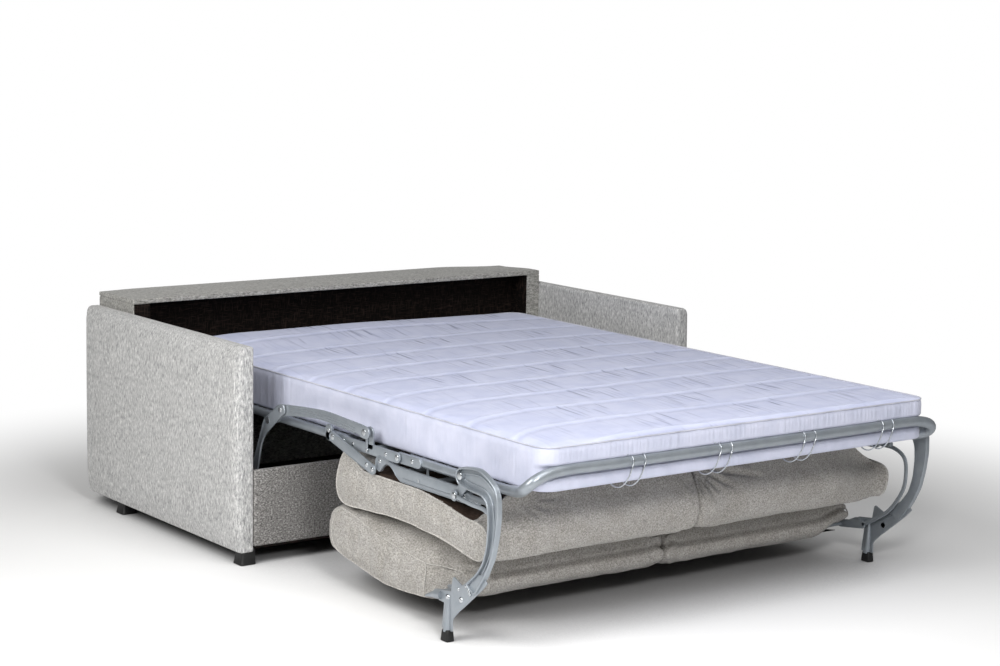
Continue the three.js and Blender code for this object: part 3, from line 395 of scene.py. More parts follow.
def knitted(name, light, shade, pitch=2.2 * MM, folds=None):
    """Knitted polyester ticking over a thin wadding: soft white with a fine knit; painted shade, faintly blue, in the
    quilting's creases and a painted highlight on its ridges.
    """
    material, tree, shader = blank(name)
    soft = object_noise(tree, 60 * MM, detail=3)
    colour = shades(tree, soft, [(0.35, shade), (0.62, light)])
    painted_light_factor = node(tree, "ShaderNodeAttribute", attribute_name="painted_light").outputs["Fac"]
    place = node(tree, "ShaderNodeMapRange", {"Value": painted_light_factor, "From Min": -1.0, "From Max": 1.0}).outputs["Result"]
    # Painted light: the ramp darkens the colour to a bluish grey in the creases and lightens it on the ridges.
    colour = mixed(tree, "MULTIPLY", 1.0, colour,
        shades(tree, place, [(0.0, "a3a6b4"), (0.5, "eeeef1"), (0.9, "ffffff")]))
    tree.links.new(colour, shader.inputs["Base Color"])
    knit = object_noise(tree, pitch, detail=1)
    under = raised(tree, shader, knit, 0.35 * MM, 0.45)
    if folds:
        raised(tree, shader, object_noise(tree, folds[0], folds[1], detail=2), folds[2], 0.8, under)
    shader.inputs["Roughness"].default_value = 0.8
    shader.inputs["Sheen Weight"].default_value = 0.15
    shader.inputs["Specular IOR Level"].default_value = 0.25
    return material


def nonwoven(name, base, line, pitch=14 * MM):
    """Pressed polypropylene lining: near black brown, with a faint broken lattice of raised threads."""
    material, tree, shader = blank(name)
    along = object_noise(tree, pitch, (2.6, 1, 0.16), detail=2, rough=0.6)
    across = object_noise(tree, pitch, (0.16, 1, 2.6), detail=2, rough=0.6)
    both = node(tree, "ShaderNodeMath", {0: along, 1: across}, operation="MAXIMUM").outputs[0]
    tree.links.new(shades(tree, both, [(0.56, base), (0.66, line)]), shader.inputs["Base Color"])
    raised(tree, shader, both, 0.8 * MM, 0.6)
    shader.inputs["Roughness"].default_value = 0.85
    shader.inputs["Specular IOR Level"].default_value = 0.12
    return material


def felted(name, base, fleck):
    """Needle felt: matt and dark, with short fibres."""
    material, tree, shader = blank(name)
    fibres = object_noise(tree, 5 * MM, (1, 3, 1), detail=5, rough=0.8)
    tree.links.new(shades(tree, fibres, [(0.35, base), (0.75, fleck)]), shader.inputs["Base Color"])
    raised(tree, shader, fibres, 1.2 * MM, 0.7)
    shader.inputs["Roughness"].default_value = 0.95
    shader.inputs["Specular IOR Level"].default_value = 0.15
    return material


def painted_steel(name, base, worn, metallic=0.55, roughness=0.36):
    """Pressed steel under silver-grey powder paint: satin, with a fine orange peel and slightly uneven gloss."""
    material, tree, shader = blank(name)
    cover = object_noise(tree, 35 * MM, detail=4, rough=0.6)
    tree.links.new(shades(tree, cover, [(0.3, base), (0.75, worn)]), shader.inputs["Base Color"])
    gloss = node(tree, "ShaderNodeMapRange", {"Value": cover, "To Min": roughness - 0.06, "To Max": roughness + 0.08})
    tree.links.new(gloss.outputs["Result"], shader.inputs["Roughness"])
    raised(tree, shader, object_noise(tree, 1.4 * MM, detail=1), 0.12 * MM, 0.25)
    shader.inputs["Metallic"].default_value = metallic
    return material


def bright_steel(name, base, roughness=0.24):
    """Zinc-plated rivets and spring wire: bright, with fine drawing marks."""
    material, tree, shader = blank(name)
    marks = object_noise(tree, 2 * MM, (4, 1, 1), detail=3)
    tree.links.new(shades(tree, marks, [(0.3, base), (0.8, "e4e7ea")]), shader.inputs["Base Color"])
    raised(tree, shader, marks, 0.1 * MM, 0.2)
    shader.inputs["Metallic"].default_value = 1.0
    shader.inputs["Roughness"].default_value = roughness
    return material


def moulded(name, base, dust, roughness=0.6):
    """Moulded rubber or plastic: black, matt where it is rubbed, with a faint grain."""
    material, tree, shader = blank(name)
    grain = object_noise(tree, 3 * MM, detail=4, rough=0.7)
    tree.links.new(shades(tree, grain, [(0.4, base), (0.85, dust)]), shader.inputs["Base Color"])
    raised(tree, shader, grain, 0.25 * MM, 0.4)
    shader.inputs["Roughness"].default_value = roughness
    return material


def sawn_board(name, base, grain):
    """Pine rail stained dark: long grain along y, matt."""
    material, tree, shader = blank(name)
    lines = object_noise(tree, 7 * MM, (1, 30, 1), detail=4, rough=0.6, distortion=0.6)
    tree.links.new(shades(tree, lines, [(0.35, base), (0.7, grain)]), shader.inputs["Base Color"])
    raised(tree, shader, lines, 0.4 * MM, 0.4)
    shader.inputs["Roughness"].default_value = 0.7
    return material


FINISH = {
    "arms": melange(
        "melange cloth, arms",
        [(0.36, "858586"), (0.46, "aaaaaa"), (0.55, "bbbbba"), (0.66, "d9d9d7")],
        ("f4f4f4", "ffffff"),
        grain=(1, 1, 3.2),
    ),
    # A darker copy of the arms' cloth for the lid, the back panel and the box ends: painted shade.
    "box": melange(
        "melange cloth, box",
        [(0.36, "6d6c69"), (0.46, "908f8b"), (0.55, "a2a19d"), (0.66, "c2c0bb")],
        ("f2f2f1", "ffffff"),
        grain=(2.2, 1, 1),
    ),
    # A darker copy of the arms' cloth: painted shade for the base's front panel, which stands in the bed's shade.
    "panels_painted_shade": melange(
        "melange cloth, panels",
        [(0.35, "464442"), (0.46, "747270"), (0.55, "8a8886"), (0.66, "b6b4b1")],
        ("f4f4f4", "ffffff"),
        grain=(1.3, 1.3, 1),
    ),
    "cushions": melange(
        "melange cloth, cushions",
        [(0.34, "7a7774"), (0.46, "9b9894"), (0.55, "aaa7a3"), (0.67, "c6c3be")],
        ("eeedea", "ffffff"),
        grain=(1, 1.5, 1),
        pitch=3.9 * MM,
    ),
    "welt": melange(
        "melange cloth, welts",
        [(0.36, "908e8a"), (0.5, "b3b0ab"), (0.66, "cfccc6")],
        ("f4f4f4", "ffffff"),
    ),
    "ticking": knitted("knitted ticking, top", "d4d9f0", "cad0ea"),
    "border": knitted("knitted ticking, border", "d2d5e5", "c7cbdc", folds=(9 * MM, (1, 1, 14), 2.0 * MM)),
    "cord": knitted("piping on the ticking", "c9cbd4", "b4b6c0"),
    "lining": nonwoven("nonwoven lining", "060403", "2b211d"),
    "felt": felted("needle felt", "2a211d", "4a3d34"),
    "steel": painted_steel("painted steel", "90979e", "9ea4aa"),
    "rivet": bright_steel("zinc-plated rivets", "b4b9bd"),
    "wire": bright_steel("spring wire", "9da3a9", 0.3),
    "rubber": moulded("moulded rubber", "080808", "1b1b1c"),
    "plastic": moulded("moulded black plastic", "090909", "1d1d1e", 0.5),
    "board": sawn_board("stained pine", "1f1b18", "37302b"),
}


# Sizes of the mechanism, in metres, with y counted from the arms' front

RAIL_X, RAIL_Z, RAIL_R = 0.7145, 0.43, 0.0125
HINGES = {"head": 0.44, "middle": -0.356, "link": -0.628}
TUBE_Y, TUBE_Z, TUBE_R = -1.23, 0.495, 0.015
LAYERS = {
    "inner": (0.698, 0.707),
    "outer": (0.722, 0.731),
    "link": (0.732, 0.738),
    "channel": (0.730, 0.741),
    "brace": (0.743, 0.748),
    "carry": (0.750, 0.756),
    "swing": (0.758, 0.762),
    "rear": (0.7655, 0.7695),
    "leg": (0.773, 0.789),
    "bracket": (0.790, 0.7967),
}
SWING_PIVOT, SWING_TOP, REAR_PIVOT, REAR_TOP = (0.156, 0.127), (0.025, 0.43), (0.456, 0.127), (0.325, 0.43)
SWING_UNIT = math.hypot(0.131, 0.303)
CARRY_RIVET, LIFT_RIVET = (-0.047, 0.471), (-0.489, 0.479)
BRACE_TOP, BRACE_FOOT = (-0.313, 0.435), (-0.521, 0.379)
LEG_PIVOT, BACK_PIVOT = (-0.997, 0.455), (-0.925, 0.385)
CROSS_Z, NET_Z = 0.4282, 0.4405
CHANNEL_START, CHANNEL_SPAN, CHANNEL_TOP, CHANNEL_HEIGHT = -0.532, -0.487, 0.4079, 0.041
SEAT_NOSE, SEAT_UNIT = (-0.318, 0.368), 0.740
BACK_NOSE, BACK_UNIT = (-0.297, 0.172), 0.615
CUSHION_HALF, CUSHION_SPLIT = 0.738, 0.0008
BASE_TOP, BOX_FRONT, BOX_REAR, LID_UNDER = 0.285, 0.778, 1.023, 0.684

SWING_SHARES = [
    [-0.6750, 1.1080], [-0.7050, 1.0300], [-0.6152, 0.9667], [-0.3545, 0.7727], [-0.2909, 0.6697],
    [-0.2485, 0.4970], [-0.0720, -0.0212], [-0.0360, -0.0727], [0.0330, -0.0727], [0.0710, -0.0212],
    [0.0606, 0.0273], [-0.3485, 0.9333], [-0.4200, 0.9680], [-0.5848, 1.0848],
]
CURVED_SHARES = [
    [0.0362, 0.0204], [-0.0226, 0.0385], [-0.3122, 0.0656], [-0.5566, 0.0792], [-0.7964, 0.0701],
    [-0.9887, 0.0611], [-1.0566, 0.0385], [-1.0475, -0.0158], [-0.9819, -0.0204], [-0.9140, -0.0023],
    [-0.7172, 0.0023], [-0.5181, 0.0136], [-0.3145, 0.0000], [-0.0520, -0.0339], [0.0158, -0.0385],
]
LEG_SHARES = [
    [0.0462, -0.0198], [0.0418, 0.0286], [0.0044, 0.0505], [-0.0945, 0.0681], [-0.1846, 0.0703],
    [-0.2680, 0.0396], [-0.3370, -0.0066], [-0.3650, -0.0615], [-0.3690, -0.1758], [-0.3520, -0.2945],
    [-0.3210, -0.4154], [-0.2590, -0.5319], [-0.1538, -0.6703], [-0.0527, -0.7736], [0.0484, -0.8549],
    [0.0835, -0.8901], [0.0835, -0.9371], [0.1802, -0.9371], [0.1802, -0.8418], [0.2000, -0.7626],
    [0.1824, -0.7143], [0.0703, -0.6088], [0.0154, -0.6703], [-0.0593, -0.6220], [-0.1690, -0.5319],
    [-0.2280, -0.4571], [-0.2610, -0.3560], [-0.2710, -0.2396], [-0.2650, -0.1473], [-0.2430, -0.0989],
    [-0.2022, -0.0791], [-0.1363, -0.0747], [-0.0593, -0.0681], [0.0198, -0.0549],
]
NOTCH_SHARES = [
    [-0.012, 0.10], [-0.014, -0.60], [0.030, -0.80], [0.058, -0.42], [0.088, -0.14], [0.122, -0.10], [0.160, -0.30],
    [0.200, -0.72], [0.245, -1], [0.63, -1], [0.97, -1], [1, -0.7], [0.85, -0.05], [0.2, 0], [0.12, 0.12],
        [0.06, 0.34], [0.012, 0.32],
]
SEAT_SHARES = [
    [-0.0850, 0.0560], [-0.0400, 0.0300], [0.0000, -0.0703], [-0.0162, -0.1432], [-0.0838, -0.1649],
    [-0.2730, -0.1541], [-0.4716, -0.1486], [-0.7189, -0.1649], [-0.9284, -0.1986], [-0.9824, -0.1730],
    [-1.0000, -0.0919], [-0.9622, -0.0568], [-0.8703, -0.0500], [-0.7054, -0.0203], [-0.5351, -0.0008],
    [-0.3541, 0.0006], [-0.1932, -0.0041], [-0.1440, 0.0280],
]
BACK_SHARES = [
    [-0.0943, 0.1073], [-0.0293, 0.0699], [0.0000, -0.0195], [-0.0211, -0.0878], [-0.0780, -0.1171],
    [-0.2325, -0.1496], [-0.4114, -0.1772], [-0.5740, -0.1805], [-0.7220, -0.1740], [-0.8992, -0.1496],
    [-0.9886, -0.1171], [-1.0000, -0.0683], [-0.9886, -0.0195], [-0.8992, -0.0033], [-0.7724, 0.0000],
    [-0.5740, 0.0211], [-0.3626, 0.0537], [-0.1837, 0.0976],
]
CLIP_X = [-0.393, -0.090, 0.220, 0.525]


# Pieces of the sofa's body


def cloth_ripple(depth, length, seed):
    """Low waves in stuffed cloth: a sum of five sines in drawn directions."""
    draws = np.random.default_rng(seed).uniform(-1, 1, (5, 3))

    def height(u, v):
        total = 0
        for a, b, phase in draws:
            total = total + np.sin((u * a + v * b) * 2 * math.pi / length + phase * 9)
        return depth * total / 5

    return height


def box_pad(name, node_name, body, material, radius, swell=0.0, shrink=0.0, cells=(1, 1, 1), ripple=None,
        slot="upholstery", steps=5):
    low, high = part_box(node_name)
    low, high = np.array(low) - [0, SHIFT, 0], np.array(high) - [0, SHIFT, 0]
    low, high = low + shrink, high - shrink
    shell = rounded_box(low, high, radius, steps, cells, swell, ripple)
    piece = shell.object(name, FINISH[material], angle=60)
    return belongs(piece, body, node_name, slot=slot)


def build_arms():
    """Each arm is a rounded board whose thickness follows its place: thin at the top and at both ends, where the cover
    is drawn round the edge, and stuffed fuller in the middle of the outer side."""
    for side, sign in SIDES.items():
        inner, thick, top = 0.8150, 0.055, 0.654
        low, high = (0.010, 0.037), (1.026, top)
        ripple = cloth_ripple(0.8 * MM, 0.4, 3 if side == "left" else 4)
        shell = rounded_box((inner, low[0], low[1]), (inner + thick, high[0], high[1]), 0.009, 6, (5, 110, 90),
            0, ripple)
        for points in shell.points:
            x, y, z = points.T
            share = (x - inner) / thick
            shoulder = np.sqrt(1 - 0.62 * np.clip((z - 0.598) / 0.0561, 0, 1) ** 2)
            ends = np.sqrt(1 - 0.5 * np.clip((0.035 - y) / 0.0255, 0, 1) ** 2) * np.sqrt(1
                - 0.6 * np.clip((y - 0.996) / 0.0305, 0, 1) ** 2)
            hem = 1 - 0.16 * smooth_step(-z, -0.10, -0.036)
            full = (1 - np.abs((z - 0.34) / 0.32) ** 2.4) * (1 - np.abs((y - 0.5) / 0.53) ** 6)
            points[:, 0] = inner + share * (thick * np.minimum(shoulder, ends) * hem + 0.010 * np.clip(full, 0, 1))
        piece = shell.object(f"{side}_arm_padding", FINISH["arms"], sign, angle=60)
        belongs(piece, "sofa", f"arm_{side}", slot="upholstery")


def build_back_box():
    """The lid is thin at its front edge and crowned; the ends reach up to it and are flush with it."""
    under = LID_UNDER
    lid = rounded_box((-0.8147, BOX_FRONT, under), (0.8147, BOX_REAR, 0.6995), 0.003, 5, (120, 20, 1), 0,
        cloth_ripple(0.9 * MM, 0.3, 7))
    for points in lid.points:
        x, y, z = points.T
        across = np.clip((y - BOX_FRONT) / (BOX_REAR - BOX_FRONT), 0, 1)
        crown = np.sin(math.pi * across) ** 0.8 * (1 - np.abs(x / 0.816) ** 14)
        sink = 0.009 * smooth_step(x, 0.52, 0.80) + 0.002 * smooth_step(-x, 0.68, 0.81)
        sink = sink * smooth_step(across, 0.15, 0.95)
        points[:, 2] += np.where(z > under + 0.006, 0.0030 * crown - sink, 0)
    # The box's pieces wear the darker cloth, its painted shade.
    slab = belongs(lid.object("back_slab_padding", FINISH["box"], angle=60), "sofa", "back_top_slab",
        slot="upholstery")
    panel = rounded_box((-0.8147, 1.0032, 0.054), (0.8147, 1.023, under - 0.0003), 0.005, 4, (40, 1, 16), 0.001,
        cloth_ripple(0.5 * MM, 0.4, 8))
    belongs(panel.object("back_panel_cloth", FINISH["box"], angle=60), "sofa", "back_panel", slot="upholstery")
    for side, sign in SIDES.items():
        end = rounded_box((0.7592, BOX_FRONT, BASE_TOP + 0.0003), (0.8147, 1.003, under - 0.0001), 0.002, 4,
            (3, 10, 24), 0.0006)
        belongs(end.object(f"{side}_box_end", FINISH["box"], sign, angle=60), "sofa", f"back_upright_{side}",
            slot="upholstery")
    # The front panel wears the darker cloth, its painted shade.
    box_pad("base_front_cloth", "base_front_panel", "sofa", "panels_painted_shade", 0.006, 0.0015, 0, (70, 1, 12),
        cloth_ripple(0.5 * MM, 0.25, 9))


def build_base():
    for side in SIDES:
        box_pad(f"{side}_base_rail", f"base_side_rail_{side}", "sofa", "board", 0.0025, slot="board", steps=3)
    box_pad("front_base_rail", "base_front_rail", "sofa", "plastic", 0.003, slot="black_plastic", steps=3)
    cover = box_pad("base_dust_cover", "base_bottom_cover", "sofa", "lining", 0.002, slot="lining", steps=2)
    for side, sign in SIDES.items():
        for row in ("front", "rear"):
            low, high = (np.array(v) - [0, SHIFT, 0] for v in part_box(f"{row}_foot_{side}"))
            top, floor = (low + high) / 2, (low + high) / 2
            shell = Shell()
            rings = []
            for height, size, move in [
                (0, 0.96, 1), (0.015, 1.0, 1), (0.10, 1.0, 1), (0.16, 0.965, 0.9), (0.5, 0.90, 0.5),
                    (0.94, 0.845, 0), (1.0, 0.84, 0),
            ]:
                half = 0.026 * size
                centre = (sign * (0.829 + 0.003 * move), (low[1] + high[1]) / 2)
                corners = rounded([(-half, -half), (half, -half), (half, half), (-half, half)], 0.008, 4)
                rings.append(np.column_stack([corners + centre, np.full(len(corners), 0.0487 * height)]))
            shell.loft(rings)
            belongs(shell.object(f"{side}_{row}_foot", FINISH["plastic"]), "sofa", f"{row}_foot_{side}",
                slot="black_plastic")


def build_box_lining():
    """Cloth hung inside the box: a sheet whose depth follows a curve downwards, with slow waves across. Its sides come
    forward along the box ends to their front edges; on the left it is turned over the edge."""
    drop = 0.2677
    start = BOX_FRONT + (BOX_REAR - BOX_FRONT) * 0.35
    top = LID_UNDER - 0.0004
    heights = [(0, top), (0, top - 0.017), (0.0075, top - 0.017 - drop * 0.3),
        (0.0125, top - 0.017 - drop * 0.7), (0.005, top - 0.017 - drop)]
    line = spline([(start + y, z) for y, z in heights], 40)
    x = np.linspace(-0.7560, 0.7560, 160)
    wave = 1.6 * MM * np.sin(x * 23 + 1) * np.cos(x * 7)
    back = np.zeros((len(line), len(x), 3))
    back[..., 0] = x
    back[..., 1] = line[:, :1] + wave * np.linspace(0.1, 1, len(line))[:, None]
    back[..., 2] = line[:, 1:]
    shell = Shell()
    forward = np.linspace(0, 1, 14)[:, None]
    for edge, place in ((back[:, 0], -0.7568), (back[:, -1], 0.7568)):
        side = np.repeat(edge[None], len(forward), axis=0)
        side[..., 1] = edge[:, 1] + (BOX_FRONT - 0.0006 - edge[:, 1]) * forward
        side[..., 0] = edge[:, 0] + (place - edge[:, 0]) * np.minimum(1, forward * 8)
        shell.grid(side)
        if place < 0:
            turned = np.repeat(side[-1:], 8, axis=0)
            turned[..., 0] = place - np.linspace(0, 0.0555, 8)[:, None]
            shell.grid(turned)
    shell.grid(back)
    piece = shell.object("box_lining_cloth", FINISH["lining"], angle=60)
    thick = piece.modifiers.new("cloth thickness", "SOLIDIFY")
    thick.thickness, thick.offset = 1.0 * MM, 0
    belongs(piece, "sofa", "back_lining", slot="lining")


# Pieces of the folding frame


def rivets(shell, places, x, radius=0.0075, height=0.0026, outward=1):
    for y, z in places:
        shell.dome(x, y, z, radius, height, outward)


def both_sides(make):
    """What `make` adds on the right, and its mirror image on the left."""
    shell = Shell()
    make(shell)
    shell.mirrored()
    return shell


def steel_piece(name, shell, body, *nodes, finish="steel", slot="steel", angle=40):
    return belongs(shell.object(name, FINISH[finish], angle=angle), body, *nodes, slot=slot)


def side_tube(shell, start, end, radius=RAIL_R, x=RAIL_X, z=RAIL_Z):
    shell.tube([(x, start, z), (x, (start + end) / 2, z), (x, end, z)], radius, 24)


def cross_tube(shell, y, z, radius, half):
    shell.tube([(-half, y, z), (0, y, z), (half, y, z)], radius, 20)


def build_middle_frame():
    steel, zinc = Shell(), Shell()
    front, rear = HINGES["middle"], HINGES["head"]
    ear = front + 0.272 / 3
    side_tube(steel, front + 0.019, rear - 0.019)
    steel.plate(capsule((front, RAIL_Z), (ear, RAIL_Z), 0.015), *LAYERS["outer"])
    steel.plate(capsule((ear, RAIL_Z + 0.003), (ear, RAIL_Z + 0.0155), 0.0175), *LAYERS["outer"])
    steel.plate(capsule((rear, RAIL_Z), (rear - 0.272 / 3, RAIL_Z), RAIL_R), *LAYERS["outer"])
    for (y, z), radius, layer, head in [
        ((front, RAIL_Z), 0.006, "link", 0.009), (SWING_TOP, 0.010, "swing", 0.0125),
        (REAR_TOP, 0.008, "rear", 0.011), (BRACE_TOP, 0.006, "brace", 0.009),
    ]:
        steel.pin(0.722, LAYERS[layer][0] - 0.0003, y, z, radius + 0.002)
        zinc.pin(LAYERS[layer][0] - 0.001, LAYERS[layer][1] + 0.0003, y, z, radius)
        rivets(zinc, [(y, z)], LAYERS[layer][1] + 0.0003, head, 0.0018)
    zinc.pin(0.707, 0.724, rear, RAIL_Z, 0.007)
    zinc.pin(0.6966, 0.709, rear, RAIL_Z, 0.006)
    rivets(zinc, [(rear, RAIL_Z)], 0.6977, 0.0095, 0.0014, -1)
    rivets(zinc, [(ear, RAIL_Z + 0.015), (ear - 0.04, RAIL_Z)], 0.731, 0.007, 0.0014)
    for shell in (steel, zinc):
        shell.mirrored()
    for y in (front + 0.038, rear - 0.038):
        cross_tube(steel, y, CROSS_Z, 0.010, RAIL_X)
    steel_piece("middle_section_frame", steel, "middle_section", "middle_frame")
    steel_piece("middle_section_rivets", zinc, "middle_section", finish="rivet")


def build_head_frame():
    steel = Shell()
    rear, tip = HINGES["head"], 0.7075
    side_tube(steel, rear + 0.019, tip)
    steel.plate(capsule((rear, RAIL_Z), (rear + 0.272 / 6, RAIL_Z), RAIL_R), *LAYERS["inner"])
    steel.mirrored()
    cross_tube(steel, tip, RAIL_Z, RAIL_R, RAIL_X + RAIL_R)
    cross_tube(steel, rear + 0.038, CROSS_Z, 0.010, RAIL_X)
    steel_piece("head_section_frame", steel, "head_section", "head_frame")


def build_link_frame():
    steel, zinc = Shell(), Shell()
    front, rear = HINGES["link"], HINGES["middle"]
    steel.plate(capsule((front, RAIL_Z), (rear, RAIL_Z), 0.015), *LAYERS["link"])
    y, z = LIFT_RIVET
    ear = [(y - 0.020, z + 0.004), (y - 0.013, z + 0.013), (y, z + 0.016), (y + 0.013, z + 0.009),
        (y + 0.014, z), (y + 0.016, RAIL_Z), (y - 0.021, RAIL_Z)]
    steel.plate(rounded(ear, 0.008), *LAYERS["link"])
    steel.plate(rounded([(y + 0.001, z + 0.006), (y + 0.014, z + 0.006), (y + 0.012, RAIL_Z - 0.013),
        (y + 0.003, RAIL_Z - 0.013)], 0.003), 0.7385, 0.7412)
    rivets(zinc, [(y + 0.0072, RAIL_Z - 0.004)], 0.7412, 0.005, 0.0012)
    zinc.pin(0.737, 0.7494, y, z, 0.006)
    rivets(zinc, [(front + 0.055, RAIL_Z), (rear - 0.05, RAIL_Z)], 0.738, 0.006, 0.0013)
    for shell in (steel, zinc):
        shell.mirrored()
    cross_tube(steel, (front + rear) / 2, CROSS_Z, 0.010, 0.733)
    steel_piece("link_section_frame", steel, "link_section", "link_frame")
    steel_piece("link_section_rivets", zinc, "link_section", finish="rivet")


def loop_path():
    """Half of the foot tube: along the rail, down a little, out past the corner, and up to the line across the
    bed's end."""
    knots = [
        (RAIL_X, -0.66, RAIL_Z), (RAIL_X, -0.9, RAIL_Z), (RAIL_X, -1.08, RAIL_Z), (0.7155, -1.13, 0.432),
            (0.7225, -1.17, 0.439),
        (0.7330, -1.2, 0.4505), (0.7305, -1.217, 0.464), (0.7170, -1.2265, 0.4775), (0.6920, -1.23, 0.488),
            (0.6510, -1.23, 0.4945),
        (0.597, -1.23, 0.4965), (0.484, -1.23, 0.4955), (0.25, -1.23, 0.495), (0, -1.23, 0.495),
    ]
    return spline(knots, 150, per=16)


def build_foot_frame():
    steel, zinc = Shell(), Shell()
    front = HINGES["link"]
    path = loop_path()
    radius = RAIL_R + (TUBE_R - RAIL_R) * smooth_step(-path[:, 1], 1.06, 1.16)
    half = path[:-1]
    whole = np.vstack([path, half[::-1] * [-1, 1, 1]])
    frame_tube = Shell()
    frame_tube.tube(whole, np.concatenate([radius, radius[:-1][::-1]]), 28)
    steel.plate(capsule((front, RAIL_Z), (front - 0.272 / 3, RAIL_Z), 0.015), *LAYERS["outer"])
    outline = np.vstack([circle(BACK_PIVOT, 0.013, 24), circle(LEG_PIVOT, 0.016, 24)])
    steel.plate(capsule(BACK_PIVOT, LEG_PIVOT, 0.0145), *LAYERS["brace"])
    steel.plate(rounded([(-0.993, 0.4195), (-0.929, 0.4195), (-0.929, 0.4425), (-0.993, 0.4425)], 0.003),
        RAIL_X, 0.744)
    for share in (0.427, 0.776):
        y = CHANNEL_START + CHANNEL_SPAN * share
        steel.plate(capsule((y, RAIL_Z - 0.004), (y, CHANNEL_TOP - CHANNEL_HEIGHT / 2), 0.0055), 0.7095, 0.7125)
        zinc.pin(0.7095, 0.7413, y, CHANNEL_TOP - CHANNEL_HEIGHT / 2, 0.004)
    zinc.pin(0.730, 0.7383, front, RAIL_Z, 0.006)
    rivets(zinc, [(front, RAIL_Z)], 0.7383, 0.009, 0.0018)
    rivets(zinc, [(front - 0.0635, RAIL_Z)], 0.731, 0.007, 0.0014)
    y, z = BACK_PIVOT
    steel.pin(0.747, 0.7563, y, z, 0.006)
    rivets(zinc, [(y, z)], 0.7563, 0.009, 0.0017)
    y, z = LEG_PIVOT
    steel.pin(0.747, 0.7727, y, z, 0.0118)
    steel.pin(0.7727, 0.7895, y, z, 0.008)
    rivets(zinc, [(y, z)], 0.7893, 0.0105, 0.0016)
    for shell in (steel, zinc):
        shell.mirrored()
    for y in (front - 0.057, -1.083):
        cross_tube(steel, y, CROSS_Z, 0.010, RAIL_X)
    steel.points += frame_tube.points
    steel.faces += [[i + steel.count for i in face] for face in frame_tube.faces]
    steel.count += frame_tube.count
    steel_piece("foot_section_frame", steel, "foot_section", "foot_frame")
    steel_piece("foot_section_rivets", zinc, "foot_section", finish="rivet")


def build_nets():
    """Welded wire nets: straight wires both ways, a wire's thickness apart in height."""
    for name, body, node_name, across, along in [
        ("middle_net", "middle_section", "middle_mesh", 24, 14),
        ("head_net", "head_section", "head_mesh", 24, 4),
        ("foot_net", "foot_section", "foot_mesh", 24, 9),
    ]:
        low, high = (np.array(v) - [0, SHIFT, 0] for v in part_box(node_name))
        shell, wire = Shell(), 0.0015
        z = high[2] - wire - 0.0002
        for x in np.linspace(low[0] + wire, high[0] - wire, across):
            shell.tube([(x, low[1], z - 0.0012), (x, high[1], z - 0.0012)], wire * 0.9, 6)
        for y in np.linspace(low[1] + wire, high[1] - wire, along):
            shell.tube([(low[0], y, z), (high[0], y, z)], wire, 6)
        belongs(shell.object(name, FINISH["wire"]), body, node_name, slot="wire")


def build_swing_arms():
    for side, sign in SIDES.items():
        shell = Shell()
        x0, x1 = LAYERS["swing"]
        shell.plate(rounded(placed(SWING_SHARES, SWING_PIVOT, SWING_UNIT), 0.016, 5), x0, x1)
        edge = rounded(placed(SWING_SHARES, SWING_PIVOT, SWING_UNIT), 0.016, 5)
        rim(shell, offset(edge, 0.0004), x0 + 0.001, x1 + 0.0022, 0.0022)
        piece = belongs(shell.object(f"{side}_front_swing_arm", FINISH["steel"], sign), "swing_arms",
            f"front_swing_arm_{side}", slot="steel")
        zinc = Shell()
        zinc.pin(0.7497, x0 + 0.001, *CARRY_RIVET, 0.006)
        rivets(zinc, [CARRY_RIVET], x1, 0.0085, 0.0026)
        rivets(zinc, [CARRY_RIVET], 0.7497, 0.0095, 0.0012, -1)
        belongs(zinc.object(f"{side}_front_swing_rivets", FINISH["rivet"], sign), "swing_arms", slot="steel")
        rear = Shell()
        rear.plate(capsule(REAR_PIVOT, REAR_TOP, 0.018), *LAYERS["rear"])
        belongs(rear.object(f"{side}_rear_swing_arm", FINISH["steel"], sign), "rear_arms",
            f"rear_swing_arm_{side}", slot="steel")
        bracket = Shell()
        x0, x1 = LAYERS["bracket"]
        bracket.plate(capsule(SWING_PIVOT, REAR_PIVOT, 0.036, 16), x0, x1, 0.002)
        for (y, z), layer in ((SWING_PIVOT, "swing"), (REAR_PIVOT, "rear")):
            bracket.pin(LAYERS[layer][1] + 0.0003, x0 + 0.001, y, z, 0.010)
            bracket.pin(LAYERS[layer][0] - 0.0003, LAYERS[layer][1] + 0.001, y, z, 0.008)
            bracket.dome(LAYERS[layer][0] - 0.0003, y, z, 0.012, 0.0011, -1)
        for share in (0.25, 0.5, 0.75):
            bracket.dome(x0, SWING_PIVOT[0] + 0.3 * share, SWING_PIVOT[1], 0.006, 0.0011, -1)
        belongs(bracket.object(f"{side}_pivot_plate", FINISH["steel"], sign), "sofa", f"pivot_bracket_{side}",
            slot="steel")


def rim(shell, outline, x0, x1, width):
    """A raised edge along a closed outline: a low arch with straight sides carried round it."""
    turn = np.linspace(0, math.pi, 7)
    r = width / 2
    profile = [(0, x0)] + [(r - r * math.cos(a), x1 - r + r * math.sin(a)) for a in turn] + [(width, x0)]
    rings = np.array([with_x(offset(outline, pull), x) for pull, x in profile])
    shell.grid(rings, wrap_rows=True, wrap_columns=True)


